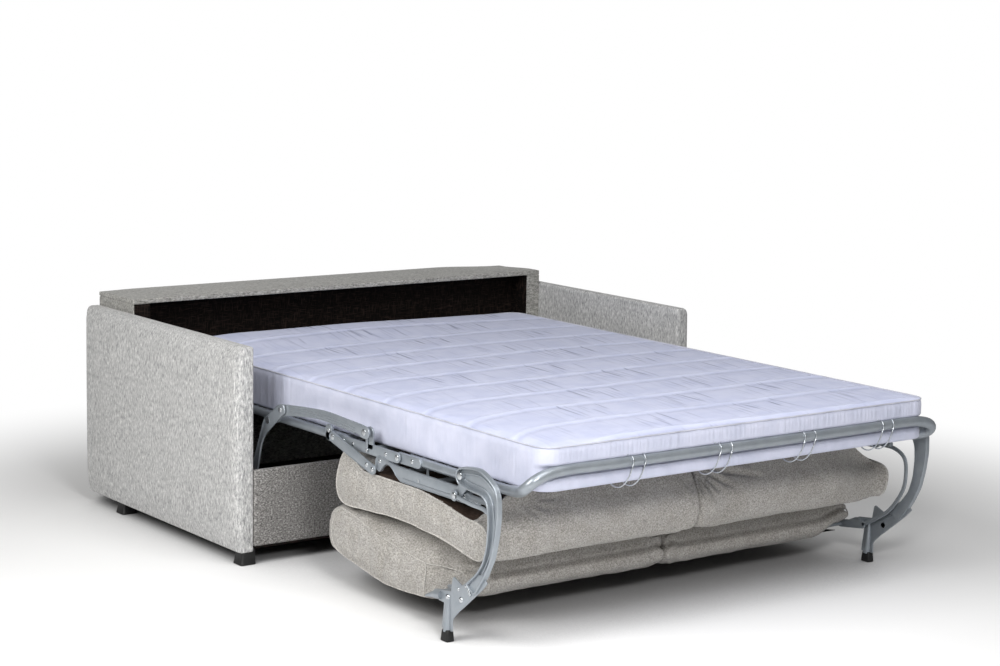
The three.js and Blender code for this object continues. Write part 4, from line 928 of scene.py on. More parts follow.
def build_links():
    for side, sign in SIDES.items():
        x0, x1 = LAYERS["carry"]
        shell = Shell()
        unit = CARRY_RIVET[0] - LIFT_RIVET[0]
        outline = spline(placed(CURVED_SHARES, CARRY_RIVET, unit), 120, closed=True)
        shell.plate(outline, x0, x1)
        rim(shell, offset(outline, 0.0003), x0 + 0.001, x1 + 0.0006, 0.0022)
        arch = np.array([[share, 0.03 - 0.01 * share + 0.16 * share * (1 - share)
            - 0.02] for share in np.linspace(0.1, 0.9, 20)])
        for lift in (-0.007, 0, 0.007):
            line = np.column_stack([CARRY_RIVET[0] - unit * arch[:, 0], CARRY_RIVET[1]
                + unit * arch[:, 1] * 0.75 + lift])
            path = with_x(line, x1 - 0.0002)
            shell.tube(path, 0.0019, 8)
        belongs(shell.object(f"{side}_curved_link", FINISH["steel"], sign), "curved_links",
            f"curved_link_{side}", slot="steel")
        head = Shell()
        rivets(head, [LIFT_RIVET], x1 + 0.0002, 0.0095, 0.0016)
        belongs(head.object(f"{side}_link_rivet", FINISH["rivet"], sign), "curved_links", slot="steel")
        x0, x1 = LAYERS["brace"]
        bar = Shell()
        bar.plate(capsule(BRACE_FOOT, BRACE_TOP, 0.015), x0, x1)
        rim(bar, offset(capsule(BRACE_FOOT, BRACE_TOP, 0.015, 14), 0.0003), x0 + 0.001, x1 + 0.0012, 0.002)
        belongs(bar.object(f"{side}_diagonal_bar", FINISH["steel"], sign), "diagonal_bars",
            f"diagonal_bar_{side}", slot="steel")
        zinc = Shell()
        along = np.array(BRACE_TOP) - BRACE_FOOT
        rivets(zinc, [BRACE_FOOT + along * share for share in (0.0, 0.14)], x1, 0.0075, 0.0022)
        belongs(zinc.object(f"{side}_bar_rivets", FINISH["rivet"], sign), "diagonal_bars", slot="steel")


FOOT_PLATE = [
    (-0.9566, 0.1378), (-0.9576, 0.1461), (-0.9630, 0.1751), (-0.9678, 0.1791), (-1.0050, 0.1635), (-1.0193, 0.1734),
    (-1.0689, 0.2120), (-1.0990, 0.2080), (-1.1150, 0.1930), (-1.0916, 0.1698), (-1.0448, 0.1315), (-1.0091, 0.1027),
    (-0.9948, 0.0920), (-0.9708, 0.0701), (-0.9635, 0.0600), (-0.9640, 0.0290), (-0.9170, 0.0290), (-0.9190, 0.0517),
    (-0.9232, 0.0822), (-0.9252, 0.1004), (-0.8990, 0.1010), (-0.8985, 0.1306),
]


def build_legs():
    """The leg is a channel open to the outside: a web, a flange that follows the outline, a pressed rib inside it, and
    a flat star-shaped foot plate with a half-round neck and a tube's flattened end."""
    for side, sign in SIDES.items():
        x0, x1 = LAYERS["leg"]
        points = placed(LEG_SHARES, LEG_PIVOT, LEG_PIVOT[1])
        shell = Shell()
        bowl = rounded(np.vstack([points[:13], points[23:]]), 0.014, 6)
        shell.plate(bowl, x0, x0 + 0.0045)
        rim(shell, offset(bowl, 0.0004), x0 + 0.002, x1, 0.0058)
        inner = offset(bowl, 0.0165)
        rim(shell, inner, x0 + 0.003, x0 + 0.0085, 0.0045)
        shell.plate(rounded(np.array(FOOT_PLATE), 0.0035, 4), x0 + 0.004, x0 + 0.0085, 0.0012)
        neck = spline(with_x(np.array([[-0.9445, 0.120], [-0.9440, 0.090], [-0.9425, 0.060], [-0.9410, 0.026]]),
            x0 + 0.006), 24)
        shell.tube(neck, np.linspace(0.004, 0.0125, len(neck)) ** 0.6 * 0.0125**0.4, 20)
        stub = spline(with_x(np.array([[-0.912, 0.117], [-0.896, 0.1155], [-0.872, 0.110], [-0.838, 0.0985]]),
            x0 + 0.006), 24)
        shell.tube(stub, np.interp(np.linspace(0, 1, 24), [0, 0.3, 0.55, 1], [0.0125, 0.0125, 0.0085, 0.0035]), 20)
        belongs(shell.object(f"{side}_leg_channel", FINISH["steel"], sign), "legs", f"leg_{side}", slot="steel")
        zinc = Shell()
        rivets(zinc, [(-0.9426, 0.1187), (-1.0028, 0.1248)], x0 + 0.0085, 0.0085, 0.0045)
        rivets(zinc, [(-1.0224, 0.1657), (-0.9899, 0.1502)], x0 + 0.0085, 0.0045, 0.0018)
        zinc.tube(with_x(np.array([[-1.0355, 0.162], [-1.041, 0.154], [-1.0465, 0.146]]), x0 + 0.0085), 0.0045, 12)
        belongs(zinc.object(f"{side}_leg_rivets", FINISH["rivet"], sign), "legs", slot="steel")
        foot = Shell()
        rings = []
        for height, grow in [(0, 0.0), (0.05, 0.0012), (0.6, 0.0), (0.93, -0.0012), (1, -0.0028)]:
            half = np.array([0.0112, 0.0152]) + grow
            corners = rounded([(-half[0], -half[1]), (half[0], -half[1]), (half[0], half[1]),
                (-half[0], half[1])], 0.005, 5)
            rings.append(np.column_stack([corners + (sign * (x0 + 0.007), -0.9415),
                np.full(len(corners), 0.0315 * height)]))
        foot.loft(rings)
        belongs(foot.object(f"{side}_rubber_foot", FINISH["rubber"]), "legs", f"leg_foot_{side}", slot="rubber")


def build_seat_frame():
    steel, zinc = Shell(), Shell()
    outline = np.column_stack([
        CHANNEL_START + CHANNEL_SPAN * np.array(NOTCH_SHARES)[:, 0],
        CHANNEL_TOP + CHANNEL_HEIGHT * np.array(NOTCH_SHARES)[:, 1],
    ])
    edge = rounded(outline, 0.007, 4)
    x0, x1 = LAYERS["channel"]
    steel.plate(edge, x0, x1 - 0.0015)
    rim(steel, offset(edge, 0.0004), x1 - 0.003, x1, 0.003)
    bead = [(CHANNEL_START + CHANNEL_SPAN * u, CHANNEL_TOP + CHANNEL_HEIGHT * v) for u,
        v in [(0.27, -0.72), (0.55, -0.74), (0.74, -0.72), (0.80, -0.55)]]
    steel.tube(with_x(spline(bead, 40), x1 - 0.002), 0.0028, 10)
    places = [(CHANNEL_START + CHANNEL_SPAN * u, CHANNEL_TOP + CHANNEL_HEIGHT * v) for u,
        v in [(0.82, -0.45), (0.86, -0.5), (0.93, -0.55), (0.975, -0.6), (0.03, -0.05)]]
    rivets(zinc, places, x1 - 0.0015, 0.0062, 0.0022)
    mid = CHANNEL_TOP - CHANNEL_HEIGHT / 2
    steel.tube([(0.736, -0.978, mid), (0.736, -1.02, mid), (0.736, -1.06, mid)], 0.008, 20)
    for shell in (steel, zinc):
        shell.mirrored()
    for share in (0.2, 0.5, 0.8):
        cross_tube(steel, CHANNEL_START + CHANNEL_SPAN * share, mid, 0.008, 0.731)
    steel_piece("seat_side_channels", steel, "seat", "seat_frame")
    steel_piece("seat_channel_rivets", zinc, "seat", finish="rivet")


def build_back_frame():
    tube_z = BACK_NOSE[1] - BACK_UNIT * 0.11
    rear, front = BACK_NOSE[0] - BACK_UNIT * 0.9, BACK_NOSE[0] - BACK_UNIT * 0.19
    half = CUSHION_HALF - 0.012
    knots = [BACK_PIVOT, (-1.0, 0.3765), (-1.06, 0.373), (-1.10, 0.35), (-1.108, 0.30), (-1.097, 0.25),
        (-1.052, 0.187), (-0.993, 0.145)]
    strut = spline(np.array(knots + [(-0.940, 0.117)]), 60)
    ahead = np.gradient(strut, axis=0)
    ahead /= np.linalg.norm(ahead, axis=1, keepdims=True)
    across = np.stack([-ahead[:, 1], ahead[:, 0]], axis=1) * 0.0055
    steel = Shell()
    x0, x1 = LAYERS["carry"]
    steel.plate(np.vstack([strut + across, (strut - across)[::-1]]), x0, x1)
    steel.plate(circle(BACK_PIVOT, 0.015), x0, x1)
    end = strut[-1]
    steel.plate(capsule(end, (rear, tube_z), 0.012), x0, x1)
    for share in (0.1, 0.95):
        x = half * share - 0.0075
        steel.tube([(x, rear, tube_z), (x, (rear + front) / 2, tube_z), (x, front, tube_z)], 0.0075, 16)
    steel.mirrored()
    cross_tube(steel, rear, tube_z, 0.0075, 0.751)
    cross_tube(steel, front, tube_z, 0.0075, half - 0.0075)
    steel_piece("back_cushion_frame", steel, "backrest", "back_frame")


def build_clips():
    """Each clip is one wire: two strands over the tube with squared hooks above it and a rounded bow back under
    the bed."""
    for index, centre in enumerate(CLIP_X):
        shell = Shell()
        for sign in (-1, 1):
            x = centre + sign * 0.0205
            reach = TUBE_R + 0.0021
            turn = np.linspace(0.36, 1.08, 20) * math.pi
            over = np.column_stack([np.full(20, x), TUBE_Y + reach * np.cos(turn), TUBE_Z + reach * np.sin(turn)])
            high = TUBE_Z + reach
            if sign < 0:
                hook = [(x - 0.013, TUBE_Y - 0.008, high + 0.0015), (x - 0.014, TUBE_Y - 0.001, high + 0.004),
                    (x - 0.006, TUBE_Y + 0.0045, high + 0.0045)]
            else:
                hook = [(x - 0.019, TUBE_Y - 0.004, high + 0.0005), (x - 0.017, TUBE_Y + 0.002, high + 0.003)]
            bow = np.array([
                (0, -0.0165, 0.478), (0, -0.0135, 0.4620), (0, -0.0085, 0.4470), (0, -0.001, 0.4345),
                    (0, 0.009, 0.4270),
                (0, 0.020, 0.4255), (0, 0.030, 0.4290), (0, 0.037, 0.4360),
            ])
            bow[:, 0] = -0.034 * smooth_step(np.linspace(0, 1, 8), -0.35, 1.1)
            strand = np.vstack([hook, over[2:], bow + [x, TUBE_Y, 0]])
            shell.tube(spline(strand, 110, per=6), 0.0018, 10)
        shell.tube([(centre - 0.054, TUBE_Y + 0.037, 0.436), (centre - 0.034, TUBE_Y + 0.0378, 0.4364),
            (centre - 0.013, TUBE_Y + 0.037, 0.436)], 0.0014, 10)
        belongs(shell.object(f"bed_clip_{index + 1}", FINISH["wire"], angle=80), "foot_section",
            f"mattress_clip_{index + 1}", slot="wire")


# The mattress

BED_HALF, BED_FOOT, BED_HEAD, BED_CORNER = 0.6965, -1.2325, 0.7545, 0.052
BED_TOP, BED_SEAM, BED_UNDER = 0.5625, 0.5555, 0.4416
CHANNEL_PITCH = 0.2


def plan_half(y):
    """Half the width at y: full between the rounded corners, following their circles at both ends."""
    near = np.minimum(y - BED_FOOT, BED_HEAD - y)
    inside = np.clip(BED_CORNER - near, 0, BED_CORNER)
    return BED_HALF - BED_CORNER + np.sqrt(np.maximum(BED_CORNER**2 - inside**2, 0))


def plan_normal(x, y):
    """Outward direction of the outline at a point on it: away from the corner's centre, or straight out."""
    across = np.maximum(np.abs(x) - (BED_HALF - BED_CORNER), 0) * np.sign(x)
    along = np.minimum(y - (BED_FOOT + BED_CORNER), 0) + np.maximum(y - (BED_HEAD - BED_CORNER), 0)
    length = np.maximum(np.hypot(across, along), 1e-9)
    return across / length, along / length


def quilting(x, y, depth):
    """Height of the quilted top and its painted light and shade. Ridges across bend towards the foot at the sides and
    have soft hollows beside them; in every channel between two ridges thin creases along y come in groups and fade out
    at both ends.
    The second value is a painted highlight above 0 on a ridge, where the wadding is full, and painted shade below 0
    beside the ridge and in a crease, where the cloth shades itself."""
    bend = -0.10 * np.exp(-(x + 0.7) / 0.13) - 0.035 * np.exp(-(0.7 - x) / 0.16) + 0.008 * np.sin(x * 5.3 + y * 2.1)
    run = y - bend
    channel = np.floor(run / CHANNEL_PITCH)
    inside = run - (channel + 0.5) * CHANNEL_PITCH
    line = CHANNEL_PITCH / 2 - np.abs(inside)
    ridge = 0.75 + 0.25 * np.sin(x * 31 + channel * 2.7)
    height = 3.4 * ridge * np.exp(-((line / 0.0095) ** 2)) - 1.1 * np.exp(-(((line - 0.028) / 0.012) ** 2))
    # Painted light: a painted highlight along each ridge and a band of painted shade on one side of it.
    painted_light = 0.62 * ridge * np.exp(-((line / 0.012) ** 2)) - 0.22 * np.exp(-(((inside - 0.078) / 0.013) ** 2))
    height += 1.0 * (1 - np.exp(-((line / 0.055) ** 2)))
    middle_part = 0.25 + 0.75 * smooth_step(x, -0.55, -0.25) * smooth_step(0.70 - x, 0.0, 0.25)
    for pitch, deep, thin, start in ((0.071, 1.7, 0.0036, 11), (0.0225, 0.85, 0.0031, 37)):
        for step in (-1, 0, 1):
            index = np.round(x / pitch) + step
            jitter, other = hashed(channel + start, index), hashed(index + start, channel + 3)
            group = 0.5 + 0.5 * np.sin(index * pitch * 17 + channel * 2.1 + start)
            slant = 0.04 + 0.22 * hashed(channel + 91, index + start)
            middle = (other - 0.5) * 0.09
            centre = (index + (jitter - 0.5) * 0.8) * pitch + slant * (inside - middle) + 0.6 * (inside - middle) ** 2
            length = 0.034 + 0.046 * hashed(channel + 7, index - start)
            fade = np.exp(-(((inside - middle) / length) ** 4)) * group * middle_part
            crease = np.exp(-(((x - centre) / thin) ** 2)) * fade * (0.3 + 0.7 * other)
            height -= deep * 0.55 * crease
            # Painted shade in the crease.
            painted_light -= deep * 0.85 * crease
    height += 0.7 * np.sin(x * 9 + 2 * np.sin(y * 6)) * np.sin(y * 8 + x * 3)
    return height * depth, np.clip(painted_light, -1, 1)


def row_places(start, end):
    """Rows along y: close together round a corner, and 6 mm apart elsewhere."""
    turn = np.linspace(0, math.pi / 2, 12)
    bow = BED_CORNER * (1 - np.cos(turn))
    low, high = start, end
    parts = []
    if start == BED_FOOT:
        parts.append(start + bow[:-1])
        low = start + BED_CORNER
    if end == BED_HEAD:
        high = end - BED_CORNER
    parts.append(np.linspace(low, high, int(round((high - low) / 0.006)) + 1))
    if end == BED_HEAD:
        parts.append((end - bow[:-1])[::-1])
    return np.concatenate(parts)


def gathers(path, normal, levels):
    """How far the border stands out: upright waves whose length and depth drift along the border, deepest where it is
    gathered at the foot end and beside the arms."""
    steps = np.linalg.norm(np.diff(path, axis=0), axis=1)
    along = np.concatenate([[0], np.cumsum(steps)])
    x, y = path.T
    place = np.where(np.abs(normal[1]) > 0.7, x * 1.0, y * 1.0)
    end = normal[1] ** 2 * (y < 0)
    amount = 0.5 + 2.1 * smooth_step(y, -0.25, 0.12) + 0.85 * end
    coarse = np.sin(place * 150 + 2.4 * np.sin(place * 19) + 1.1 * np.sin(place * 47))
    fine = np.sin(place * 390 + 3.1 * np.sin(place * 31) + 1.7 * np.sin(place * 83))
    patch = 0.5 + 0.5 * np.sin(place * 14 + 1.3 * np.sin(place * 6.1))
    top = np.exp(-(((levels - 0.12) / 0.22) ** 2))
    foot = np.exp(-(((levels - 0.9) / 0.25) ** 2))
    belly = np.sin(math.pi * np.clip(levels, 0, 1)) ** 0.5
    wave = (0.55 * coarse * patch)[None] * (0.4 + 0.6 * top)[:,
        None] + (0.4 * fine * (0.35 + end))[None] * (top * 0.9 + foot * 0.7)[:, None]
    lean = np.sin(place * 61 + levels[:, None] * 2.6) * 0.28
    return (wave + lean * patch[None]) * belly[:, None] * amount[None]


def border(path, depth):
    """The upright side: a profile from the seam down, carried along the outline and pushed out by the gathers."""
    heights = np.concatenate([[0], np.linspace(0.03, 0.97, 26), [1.0]])
    normal = np.array(plan_normal(path[:, 0], path[:, 1]))
    out = np.interp(heights, [0, 0.05, 0.13, 0.3, 0.55, 0.8, 0.93, 0.98, 1.0],
        [0, 0.0022, 0.0036, 0.0035, 0.0035, 0.0045, 0.005, 0.0045, 0.001])
    z = BED_SEAM + (BED_UNDER - BED_SEAM) * heights
    push = out[:, None] + gathers(path, normal, heights) * MM * depth
    foot_end = normal[1] ** 2 * (path[:, 1] < 0)
    behind_tube = smooth_step(-z, -0.513, -0.500) * smooth_step(z, 0.462, 0.482)
    tuck = (behind_tube * 0.0215 + smooth_step(-z, -0.50, -0.47) * (1 - behind_tube) * 0.006)[:,
        None] * foot_end[None]
    push = push - tuck
    band = np.zeros((len(heights), len(path), 3))
    band[..., 0] = path[:, 0] + normal[0] * push
    band[..., 1] = path[:, 1] + normal[1] * push
    band[..., 2] = z[:, None]
    return band


def mattress_length(name, start, end, depth):
    rows = row_places(start, end)
    columns = np.linspace(-1, 1, 401)
    y = np.repeat(rows[:, None], len(columns), axis=1)
    x = plan_half(rows)[:, None] * columns[None]
    edge = np.minimum(plan_half(rows)[:, None] - np.abs(x), np.minimum(y - BED_FOOT, BED_HEAD - y))
    z = BED_SEAM + (BED_TOP - BED_SEAM) * smooth_step(edge, 0, 0.045) ** 0.7
    relief, painted_light = quilting(x, y, depth * MM)
    flat_part = smooth_step(edge, 0.0, 0.03)
    crown = smooth_step(y, 0.40, 0.62) * smooth_step(0.70 - np.abs(x), 0, 0.24) * (1
        - 0.75 * smooth_step(x, -0.1, 0.55))
    z = z + relief * flat_part + 0.012 * crown
    top = np.stack([x, y, z], axis=-1)
    shell = Shell()
    shell.grid(top)
    left, right = top[:, 0, :2], top[:, -1, :2]
    open_foot, open_head = start > BED_FOOT, end < BED_HEAD
    if not open_foot:
        paths = [np.vstack([left[::-1], top[0, 1:-1, :2], right])]
    elif not open_head:
        paths = [np.vstack([right, top[-1, ::-1][1:-1, :2], left[::-1]])]
    else:
        paths = [left[::-1], right]
    bands = [border(path, depth) for path in paths]
    for band in bands:
        shell.grid(band)
    shell.flat(np.vstack([band[-1] for band in bands]))
    for is_open, row, value in ((open_foot, top[0], start), (open_head, top[-1], end)):
        if not is_open:
            continue
        sides = []
        for band in bands:
            for column in (band[:, 0], band[:, -1]):
                if abs(column[0, 1] - value) < 1e-9:
                    sides.append(column)
        right_side = next(c for c in sides if c[0, 0] > 0)
        left_side = next(c for c in sides if c[0, 0] < 0)
        shell.flat(np.vstack([row, right_side[1:], left_side[1:][::-1]]))
    piece = shell.object(name, FINISH["ticking"], angle=60)
    places = coordinates(piece.data) - [0, SHIFT, 0]
    # The quilting's painted highlights and painted shade, kept per point for the ticking's colour; the border gets
    # none.
    painted_light_values = np.where(places[:, 2] > BED_SEAM + 0.001, quilting(places[:, 0], places[:, 1], 1.0)[1], 0)
    piece.data.attributes.new("painted_light", "FLOAT", "POINT").data.foreach_set("value", painted_light_values.astype(np.float32))
    piece.data.materials.append(FINISH["border"])
    centres = np.zeros(len(piece.data.polygons) * 3)
    piece.data.polygons.foreach_get("center", centres)
    piece.data.polygons.foreach_set("material_index", (centres[2::3] < BED_SEAM - 0.0003).astype(int))
    cords = []
    for path in paths:
        normal = np.array(plan_normal(path[:, 0], path[:, 1]))
        wobble = 0.0003 * np.sin(np.arange(len(path)) * 0.37)
        line = np.column_stack([path + (normal * (0.0006 + wobble)).T, np.full(len(path), BED_SEAM + 0.0010)])
        cords.append(line)
    return piece, cords


MATTRESS_LENGTHS = [
    ("foot", BED_FOOT, -0.492, "foot_section", "link_section", (-0.764, -0.492), ["mattress_foot"]),
    ("waist", -0.492, 0.04, "link_section", "middle_section", (-0.492, -0.22), ["mattress_fold_front"]),
    ("head", 0.04, BED_HEAD, "middle_section", "head_section", (0.304, 0.576),
        ["mattress_middle", "mattress_fold_rear", "mattress_head"]),
]


def build_mattress(depth=1.0):
    for name, start, end, first, second, zone, nodes in MATTRESS_LENGTHS:
        piece, cords = mattress_length(f"mattress_{name}_length", start, end, depth)
        shell = Shell()
        for line in cords:
            shell.tube(line, 0.0023, 8)
        cord = shell.object(f"mattress_{name}_piping", FINISH["cord"], angle=80)
        for item in (piece, cord):
            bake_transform(item)
        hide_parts(*nodes)


# Cushions


def evaluated(piece):
    """The piece's mesh with its modifiers applied, as a new mesh."""
    graph = bpy.context.evaluated_depsgraph_get()
    return bpy.data.meshes.new_from_object(piece.evaluated_get(graph), depsgraph=graph)


def coordinates(mesh):
    flat = np.zeros(len(mesh.vertices) * 3)
    mesh.vertices.foreach_get("co", flat)
    return flat.reshape(-1, 3)


def normals_of(mesh):
    flat = np.zeros(len(mesh.vertices) * 3)
    mesh.vertices.foreach_get("normal", flat)
    return flat.reshape(-1, 3)


def swap_mesh(piece, mesh):
    old = piece.data
    materials = list(old.materials)
    piece.data = mesh
    piece.modifiers.clear()
    mesh.materials.clear()
    for material in materials:
        mesh.materials.append(material)
    bpy.data.meshes.remove(old)


def stuffed(shell, name, material, pinned, cap=0.008):
    """A closed shape as a filled cushion: remeshed evenly, then blown up as cloth that is held at its seams and is a
    little larger than the filling; no point moves further than the cap."""
    piece = shell.object(name, material, angle=180)
    even = piece.modifiers.new("even mesh", "REMESH")
    even.mode, even.voxel_size = "VOXEL", 0.008
    swap_mesh(piece, evaluated(piece))
    start = coordinates(piece.data)
    held = piece.vertex_groups.new(name="seams")
    weights = np.clip(pinned(start - [0, SHIFT, 0]), 0, 1)
    for level in np.unique(np.round(weights * 4) / 4):
        if level > 0:
            held.add(np.flatnonzero(np.round(weights * 4) / 4 == level).tolist(), float(level), "REPLACE")
    cloth = piece.modifiers.new("stuffing", "CLOTH")
    settings = cloth.settings
    settings.quality, settings.mass = 4, 0.3
    settings.tension_stiffness = settings.compression_stiffness = 12
    settings.shear_stiffness, settings.bending_stiffness = 6, 0.6
    settings.use_pressure, settings.uniform_pressure_force = True, 4.0
    settings.effector_weights.gravity = 0
    settings.vertex_group_mass = "seams"
    settings.pin_stiffness = 1.0
    settings.shrink_min = -0.02
    cloth.collision_settings.use_collision = False
    cloth.point_cache.frame_start, cloth.point_cache.frame_end = 1, 20
    scene = bpy.context.scene
    for frame_number in range(1, 21):
        scene.frame_set(frame_number)
    result = evaluated(piece)
    moved = coordinates(result) - start
    length = np.maximum(np.linalg.norm(moved, axis=1, keepdims=True), 1e-9)
    points = start + moved * np.minimum(1, cap / length)
    scene.frame_set(1)
    result.vertices.foreach_set("co", points.ravel())
    swap_mesh(piece, result)
    piece.vertex_groups.clear()
    finer = piece.modifiers.new("smooth cloth", "SUBSURF")
    finer.levels = finer.render_levels = 1
    swap_mesh(piece, evaluated(piece))
    return piece


def moved(piece, change):
    """Moves every point of a piece by `change(points, normals)`, in metres with y from the arms' front."""
    points, normals = coordinates(piece.data), normals_of(piece.data)
    local = points - [0, SHIFT, 0]
    points = points + change(local, normals)
    piece.data.vertices.foreach_set("co", points.ravel())
    piece.data.update()
    piece.data.shade_smooth()


def seat_outline():
    points = placed(SEAT_SHARES, SEAT_NOSE, SEAT_UNIT)
    outline = spline(points, 180, closed=True)
    under_felt = smooth_step(-outline[:, 0], 0.49, 0.515) * smooth_step(outline[:, 0], -1.02, -0.995)
    outline[:, 1] = np.where(outline[:, 1] > 0.33, np.minimum(outline[:, 1], 0.3664 + (1 - under_felt) * 0.06),
        outline[:, 1])
    return outline


def back_outline():
    return spline(placed(BACK_SHARES, BACK_NOSE, BACK_UNIT), 180, closed=True)


def cushion_shell(outline, outer, inward, low_share=1.0):
    """The cover round an outline in y and z, from the split in the middle to the outer side, both ends rolled in; the
    lower part of the outline is drawn in by only a share of the upper part's distance."""
    turn = np.linspace(0, math.pi / 2, 7)
    x = [CUSHION_SPLIT + 0.022 * (1 - math.cos(a)) for a in turn] + [CUSHION_HALF
        - outer * (1 - math.cos(a)) for a in turn[::-1]]
    pull = [0.016 * (1 - math.sin(a)) for a in turn] + [inward * (1 - math.sin(a)) for a in turn[::-1]]
    height = (outline[:, 1:] - outline[:, 1].min()) / np.ptp(outline[:, 1])
    share = low_share + (1 - low_share) * smooth_step(height, 0.3, 0.6)
    shell = Shell()
    shell.loft([with_x(offset(outline, p * share), place) for place, p in zip(x, pull)])
    return shell


def folds(points, centre, angles, reach, depth, width, plane):
    """Folds that run out from a point like a fan: a groove along every angle, fading out with distance."""
    u, v = points[:, plane[0]] - centre[0], plane[1](points) - centre[1]
    distance, angle = np.hypot(u, v), np.arctan2(v, u)
    total = np.zeros(len(points))
    for index, (a, far) in enumerate(zip(angles, reach)):
        off = (angle - a) * distance
        body = np.exp(-((off / width) ** 2)) - 0.55 * np.exp(-(((off - 1.9 * width) / (1.3 * width)) ** 2))
        total -= body * smooth_step(distance, 0.004, 0.03) * (1
            - smooth_step(distance, far * 0.45, far)) * (np.abs(angle - a) < 1.2)
    return total * depth


def cloth_noise(points, seed, pitch, count=7):
    """Low hills from a sum of sines in drawn directions, one after another with shorter waves."""
    draws = np.random.default_rng(seed)
    total = np.zeros(len(points))
    for index in range(count):
        direction = draws.normal(size=3)
        direction /= np.linalg.norm(direction)
        wave = 2 * math.pi / (pitch * (0.6 + 0.9 * draws.random()))
        bend = points @ np.roll(direction, 1) * wave * 0.37
        total += np.sin(points @ direction * wave + draws.random() * 6.3 + 1.5 * np.sin(bend))
    return total / count


def welt(name, piece, line, side, radius, body, out=0.0006):
    """A welt laid on the cover: each point of the line is moved to the nearest point of the cover and a little
    outwards."""
    graph_tree = BVHTree.FromPolygons([v.co for v in piece.data.vertices], [p.vertices for p in piece.data.polygons])
    path = []
    for point in line * [side, 1, 1] + [0, SHIFT, 0]:
        spot, normal, _, _ = graph_tree.find_nearest(Vector(point))
        path.append(spot + normal * out)
    smooth = np.array(path) - [0, SHIFT, 0]
    for _ in range(4):
        smooth[1:-1] = (smooth[:-2] + 2 * smooth[1:-1] + smooth[2:]) / 4
    shell = Shell()
    shell.tube(smooth, radius, 8)
    return belongs(shell.object(name, FINISH["welt"], angle=80), body, slot="upholstery")


def build_seat_cushions(depth=1.0):
    outline = seat_outline()

    def pinned(points):
        x, y, z = points.T
        outer = smooth_step(x, CUSHION_HALF - 0.024, CUSHION_HALF
            - 0.010) * smooth_step(inside_distance(outline, points), -0.020, -0.008)
        inner = smooth_step(-x, -0.02, -0.004)
        top = smooth_step(z, 0.352, 0.362)
        return np.maximum(np.maximum(outer, inner), top)

    master = stuffed(cushion_shell(outline, 0.008, 0.003), "left_seat_cushion", FINISH["cushions"], pinned)
    finish_cushions(master, "seat", "seat_cushion", shaped_seat, depth, offset(outline, 0.0015))


def build_back_cushions(depth=1.0):
    outline = back_outline()

    def pinned(points):
        x = points[:, 0]
        outer = smooth_step(x, CUSHION_HALF - 0.020, CUSHION_HALF
            - 0.008) * smooth_step(inside_distance(outline, points), -0.020, -0.008)
        inner = smooth_step(-x, -0.02, -0.004)
        return np.maximum(outer * 0.9, inner)

    master = stuffed(cushion_shell(outline, 0.012, 0.005), "left_back_cushion", FINISH["cushions"], pinned, cap=0.006)
    finish_cushions(master, "backrest", "back_cushion", shaped_back, depth, offset(outline, 0.003))


def inside_distance(outline, points):
    """Minus the distance of each point, seen from the side, to the nearest point of the outline."""
    place = points[:, None, 1:]
    near = np.full(len(points), 1e9)
    for part in np.array_split(outline, 12):
        near = np.minimum(near, np.linalg.norm(place - part[None], axis=2).min(axis=1))
    return -near


def finish_cushions(master, body, node_name, shaping, depth, seam):
    """The filled cushion is used for the right side as it is and mirrored for the left; each gets its own folds, and a
    welt along the seam of its outer side."""
    word = "seat" if body == "seat" else "back"
    mesh = master.data
    copied = mesh.copy()
    copied.materials.clear()
    line = np.vstack([seam, seam[:1]])
    for side, sign in SIDES.items():
        if side == "right":
            piece = finished(f"right_{word}_cushion", copied, FINISH["cushions"], 180)
        else:
            piece = master
            points = coordinates(mesh) * [-1, 1, 1]
            bm = bmesh.new()
            bm.from_mesh(mesh)
            for vertex, point in zip(bm.verts, points):
                vertex.co = point
            bmesh.ops.reverse_faces(bm, faces=bm.faces)
            bm.to_mesh(mesh)
            bm.free()
            mesh.update()
        moved(piece, lambda p, n, s=sign: shaping(p, n, s, depth))
        if word == "seat":
            felt_top(piece)
        belongs(piece, body, f"{node_name}_{side}", slot="upholstery")
        welt(f"{side}_{word}_welt", piece, with_x(line, CUSHION_HALF + 0.004), sign,
            0.0026 if word == "seat" else 0.0018, body)
        if word == "back":
            corner = spline(np.array([(-0.773, 0.176), (-0.781, 0.150), (-0.776, 0.115), (-0.768, 0.075)]), 40)
            welt(f"{side}_back_corner_welt", piece, with_x(corner, CUSHION_HALF + 0.004), sign, 0.0018, body)


def felt_top(piece):
    """The side that lies under the bed's frame is lined with felt, up to a little short of the side seam."""
    piece.data.materials.append(FINISH["felt"])
    count = len(piece.data.polygons)
    centres, normals = np.zeros(count * 3), np.zeros(count * 3)
    piece.data.polygons.foreach_get("center", centres)
    piece.data.polygons.foreach_get("normal", normals)
    centres = centres.reshape(-1, 3) - [0, SHIFT, 0]
    inner = np.abs(centres[:, 0]) < 0.66
    lined = (normals[2::3] > 0.75) & (centres[:, 1] < -0.455) & (centres[:, 2] > 0.30)
    lined &= centres[:, 1] > np.where(inner, -0.93, -0.985)
    piece.data.polygons.foreach_set("material_index", lined.astype(int))


def unrolled(points):
    """Length over the cover, up the front and then back along the top."""
    return points[:, 2] + points[:, 1]


